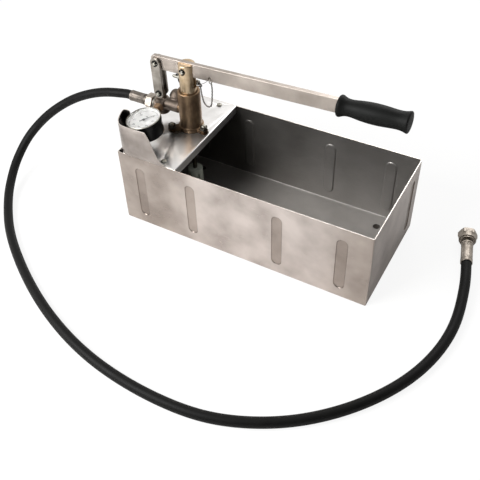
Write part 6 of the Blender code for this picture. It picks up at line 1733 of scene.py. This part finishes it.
@dataclass
class Hose:
    """Long rubber hose with crimped ferrules, the nut at the pump and the union nut at its free end."""

    radius: float = 8.75
    start: Vector = Vector((-291.8, 12.0, 188.0))
    end: Vector = Vector((360.5, 52.0, 15.888))
    stub: float = 10.0
    ferrule_radius: float = 10.25
    crimps: int = 8
    crimp_depth: float = 0.55
    round_steps: int = 128
    adapter_x: float = -236.3
    nut_x: float = -245.6
    flats: float = 27.0
    far_flats: float = 29.2
    far_nut_length: float = 22.0
    near: float = 48.6
    lip: float = 4.5
    thread: Point = (9.8, 9.3)
    path_count: int = 420
    lay: tuple[Place, ...] = field(init=False)
    way: Vector = field(init=False)

    def __post_init__(self) -> None:
        """Read the route's table and work out the direction at the free end."""
        self.lay = tuple((self.start.x + reach, y, share * self.start.z) for reach, y, share in HOSE_LAY)
        before = Vector((self.lay[-1][0], self.lay[-1][1], self.end.z))
        self.way = (self.end - before).normalized()

    def path(self) -> list[Vector]:
        """Lay the hose's centre line.

        Returns:
            Its points.
        """
        bent = [self.start - RIGHT * self.stub, *self.lay, self.end - self.way * self.stub]
        curve = [Vector((x, y, max(z, self.radius + GAP))) for x, y, z in smooth_route(bent, self.path_count)]
        return [self.start, self.start - RIGHT * self.stub / 2, *curve, self.end - self.way * self.stub / 2, self.end]

    def build_hose(self, fittings: Sequence[Piece]) -> None:
        """Args:
            fittings: Finished pieces at its free end; not used.
        """
        path = self.path()
        made = publish(blank(wire(path, self.radius, 28)), "hose_tube", (HOSE_RUBBER,), ["hose"])

    def ferrule(self, length: float, neck: float, place: Matrix) -> Piece:
        """Build a crimped ferrule: eight long crimp flats between plain collars, and its neck.

        Args:
            length: Length of its sleeve.
            neck: Length of its neck.
            place: Frame at its mouth.

        Returns:
            The ferrule.
        """
        steps, end = self.round_steps, length + neck
        stations = [(0.0, -0.7, 0.0), (0.6, 0.0, 0.0), (3.6, 0.0, 0.0), (4.6, -0.25, 1.0),
                    (length - 8.0, -0.25, 1.0), (length - 7.0, 0.0, 0.0), (length - 5.2, 0.0, 0.0),
                    (length - 4.8, -0.9, 0.0), (length - 3.8, -0.9, 0.0), (length - 3.4, 0.0, 0.0),
                    (length - 0.6, 0.0, 0.0), (length, -0.7, 0.0)]
        turns = [tau * step / steps for step in range(steps)]
        hollows = [self.crimp_depth * max(0.0, cos(self.crimps * turn)) ** 0.5 for turn in turns]
        mesh = bmesh.new()
        rings = [ring_of(mesh, 0.0, 0.0, steps)]
        for height, change, crimp in stations:
            rings.append([mesh.verts.new((*polar(self.ferrule_radius + change - crimp * hollow, turn), height))
                          for turn, hollow in zip(turns, hollows)])
        for reach, height in ((7.2, length), (7.2, end - 0.3), (6.9, end), (0.0, end)):
            rings.append(ring_of(mesh, reach, height, steps))
        bridge(mesh, rings)
        return blank(outward(mesh), place)

    def build_pump_end(self) -> None:
        """Build the adapter, the nut and the ferrule at the pump."""
        face, middle = (frame_at(Vector((x, self.start.y, self.start.z)), -RIGHT) for x in (self.adapter_x, self.nut_x))
        adapter, nipple, bore = (blank(bar(*sizes), face) for sizes in (
            (10.4, 0.0, 2.0, 0.4), (8.3, 1.0, 16.1, 0.6), (4.0, -1.0, 22.0)))
        publish(shaped(adapter, joins=[nipple], cuts=[bore]), "outlet_nipple", (ZINC,), ["outlet_adapter"])
        publish(moved(nut_blank(self.flats, 13.8, 8.8, 0.8), middle), "pump_end_nut", (DULL_ZINC,), ["hose_nut_pump"])
        publish(self.ferrule(37.2, 1.2, frame_at(self.start + RIGHT * GAP, RIGHT)), "pump_end_ferrule", (SHADED_ZINC,),
                ["hose_ferrule_pump"])

    def union_nut(self) -> Piece:
        """Build the union nut along Z: its near half turned round, and a thread in its bore.

        Returns:
            The nut.
        """
        half = self.far_nut_length / 2
        collar = lathe([(13.2, -half - 1.0), (13.2, 3.2 - half), (14.9, 3.4 - half), (15.2, -0.6), (15.9, 0.6),
                        (22.0, 0.8), (22.0, -half - 1.0)])
        made = shaped(nut_blank(self.far_flats, self.far_nut_length, 7.0, 0.4), cuts=[blank(collar)])
        crest, root = self.thread
        start = self.lip - half
        bore = [(0.0, start)]
        for turn in range(15):
            bore += [(crest, start + turn), (root, start + turn + 0.5)]
        bore += [(crest, half - 1.4), (10.8, half), (10.8, half + 3.0), (0.0, half + 3.0)]
        return shaped(made, cuts=[blank(lathe(bore, 64))])

    def build_far_end(self) -> list[Piece]:
        """Build the ferrule, the nose and the free union nut at the far end.

        Returns:
            The finished pieces.
        """
        start = self.end + self.way * GAP
        place = frame_at(start, self.way)
        sleeve = lathe([(9.0, -5.0), (9.6, -5.0), (self.ferrule_radius, -4.4), (self.ferrule_radius, 2.0),
                        (9.0, 2.0)], self.round_steps)
        shell = together([self.ferrule(44.0, 4.3, place), blank(sleeve, place)])
        ferrule = publish(shell, "free_end_ferrule", (DULL_ZINC,), ["hose_ferrule_far"])
        near, flange = self.near, 3.0
        seat = near + self.lip + GAP
        tip = seat + flange + 6.0
        nose = lathe([(4.0, near), (6.4, near), (6.6, near + 0.3), (6.6, seat), (9.0, seat), (9.2, seat + 0.3),
                      (9.2, seat + flange - 0.3), (8.9, seat + flange), (6.2, tip - 0.4), (5.8, tip), (4.6, tip),
                      (4.0, tip - 0.6)], 56)
        nose_piece = publish(blank(nose, place), "free_end_nose", (ZINC,), ["hose_nose_far"])
        middle = frame_at(start + self.way * (near + self.far_nut_length / 2), self.way)
        nut_piece = publish(moved(self.union_nut(), middle @ Matrix.Rotation(pi / 3, 4, "Z")), "free_union_nut",
                            (DULL_ZINC,), ["hose_nut_far"], body=Body.NUT)
        return [ferrule, nose_piece, nut_piece]

    def build(self) -> None:
        """Build the hose with everything on it."""
        self.build_pump_end()
        self.build_hose(self.build_far_end())


# The hose's route after the pump's ferrule: reach along X, Y, and share of the outlet's height
HOSE_LAY: tuple[Place, ...] = (
    (-36.6, 6.4, 0.9920), (-70.4, 2.5, 0.9521), (-102.6, -4.7, 0.8936), (-140.1, -14.3, 0.7899),
    (-180.7, -33.6, 0.6303), (-208.1, -49.9, 0.4787), (-220.7, -69.3, 0.3723), (-224.7, -92.5, 0.2766),
    (-221.7, -118.0, 0.1968), (-211.1, -146.1, 0.1330), (-194.8, -175.2, 0.0878), (-171.7, -205.3, 0.0612),
    (-144.9, -234.4, 0.0473), (-50.4, -308.8, 0.0473), (37.3, -360.0, 0.0473), (116.2, -394.3, 0.0473),
    (192.1, -416.5, 0.0473), (270.3, -427.8, 0.0473), (341.7, -429.0, 0.0473), (407.7, -420.5, 0.0473),
    (467.3, -399.3, 0.0473), (521.3, -367.8, 0.0473), (569.5, -326.5, 0.0473), (611.9, -275.7, 0.0473),
    (647.5, -213.1, 0.0473), (670.6, -135.1, 0.0473), (674.3, -72.0, 0.0505), (670.4, -32.6, 0.0612),
    (662.3, 13.0, 0.0787),
)


# Studio

@dataclass
class Studio:
    """Pale floor, white backdrop, soft lamps and the photograph's camera."""

    camera_place: Vector = Vector((459.2, -881.6, 938.2))
    forward: Vector = Vector((-0.3992, 0.6149, -0.6801))
    rightward: Vector = Vector((0.8614, 0.5057, -0.0484))
    lens: float = 54.0
    shift: Point = (0.0503, -0.0505)
    floor_size: float = 15000.0
    floor_glow: float = 1.04
    floor_share: float = 0.85
    lamp_side: Vector = Vector((0.46, -0.82, 0.34))
    lamp_edge: Point = (-0.15, 0.50)
    light: float = 0.32
    dimmed: float = 0.09
    lamps: tuple[tuple[str, Place, Place, float, float], ...] = (
        ("key_softbox", (-700.0, -1130.0, 1050.0), (-30.0, 0.0, 80.0), 900.0, 38.0),
        ("back_softbox", (-100.0, 1500.0, 1300.0), (0.0, 0.0, 100.0), 1000.0, 12.0))

    def build_camera(self) -> None:
        """Stand the camera where the photograph was taken."""
        data = bpy.data.cameras.new("camera")
        data.lens, data.sensor_width = self.lens, 36.0
        data.shift_x, data.shift_y = self.shift
        data.clip_start, data.clip_end = 0.05, 50.0
        camera = added("camera", data)
        back = -self.forward.normalized()
        side = (self.rightward - back * self.rightward.dot(back)).normalized()
        turn = Matrix((side, back.cross(side), back)).transposed()
        camera.matrix_world = Matrix.Translation(self.camera_place * MM) @ turn.to_4x4()
        bpy.context.scene.camera = camera

    def build_floor(self) -> None:
        """Lay the pale floor, which reads as the white backdrop and keeps a soft shadow."""
        mesh = bmesh.new()
        bmesh.ops.create_grid(mesh, x_segments=1, y_segments=1, size=self.floor_size)
        floor = blank(mesh, Matrix.Scale(MM, 4))
        floor.name = "floor"
        material = bpy.data.materials.new("pale_floor")
        tree = cleared(material)
        matt = put(tree, "ShaderNodeBsdfDiffuse", {"Color": linear("#F7F6F4")})
        glow = put(tree, "ShaderNodeEmission", {"Color": linear("#FFFFFF"), "Strength": self.floor_glow})
        seen = put(tree, "ShaderNodeLightPath").outputs["Is Camera Ray"]
        share = put(tree, "ShaderNodeMath", {"operation": "MULTIPLY", 1: self.floor_share}, {0: seen})
        mixed = put(tree, "ShaderNodeMixShader", links={0: share, 1: matt, 2: glow})
        put(tree, "ShaderNodeOutputMaterial", links={"Surface": mixed})
        floor.data.materials.append(material)

    def build_world(self) -> None:
        """Surround the scene: white behind the object, dim toward the camera's side of the studio."""
        world = bpy.data.worlds.new("studio")
        bpy.context.scene.world = world
        tree = cleared(world)
        rays = put(tree, "ShaderNodeLightPath").outputs
        way = put(tree, "ShaderNodeTexCoord").outputs["Generated"]
        side = put(tree, "ShaderNodeVectorMath", {"operation": "DOT_PRODUCT", 1: self.lamp_side.normalized()},
                   {0: way}).outputs["Value"]
        far, near = self.lamp_edge
        dim = put(tree, "ShaderNodeMapRange", {"From Min": far, "From Max": near, "To Min": 1.0,
                                               "To Max": self.dimmed}, {"Value": side})
        shown = put(tree, "ShaderNodeMath", {"operation": "MAXIMUM"},
                    {0: rays["Is Glossy Ray"], 1: rays["Is Transmission Ray"]})
        lit = put(tree, "ShaderNodeBackground", {"Color": linear("#FFFFFF"), "Strength": self.light})
        mirrored = put(tree, "ShaderNodeBackground", {"Color": linear("#FFFDFA")}, {"Strength": dim})
        white = put(tree, "ShaderNodeBackground", {"Color": linear("#FFFFFF"), "Strength": 1.0})
        first = put(tree, "ShaderNodeMixShader", links={0: shown, 1: lit, 2: mirrored})
        second = put(tree, "ShaderNodeMixShader", links={0: rays["Is Camera Ray"], 1: first, 2: white})
        put(tree, "ShaderNodeOutputWorld", links={"Surface": second})

    def build_lamps(self) -> None:
        """Hang two soft lamps: one beside the camera, one behind the object."""
        for name, place, aim, size, power in self.lamps:
            data = bpy.data.lights.new(name, "AREA")
            data.shape, data.size, data.energy = "SQUARE", size * MM, power
            lamp = added(name, data)
            way = (Vector(aim) - Vector(place)).normalized()
            lamp.matrix_world = (Matrix.Translation(Vector(place) * MM)
                                 @ way.to_track_quat("-Z", "Y").to_matrix().to_4x4())

    def build(self) -> None:
        """Build the whole studio."""
        for step in (self.build_camera, self.build_floor, self.build_world, self.build_lamps):
            step()
        bpy.context.scene.view_settings.view_transform = "Standard"


def main() -> None:
    logging.basicConfig(level=logging.INFO, format="%(message)s")
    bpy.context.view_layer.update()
    for sub_assembly in (Studio(), Hose(), Tank(), Deck(), Pump(), Valves(), Gauge(), Linkage(), LockPin()):
        sub_assembly.build()


if __name__ == "__main__":
    main()
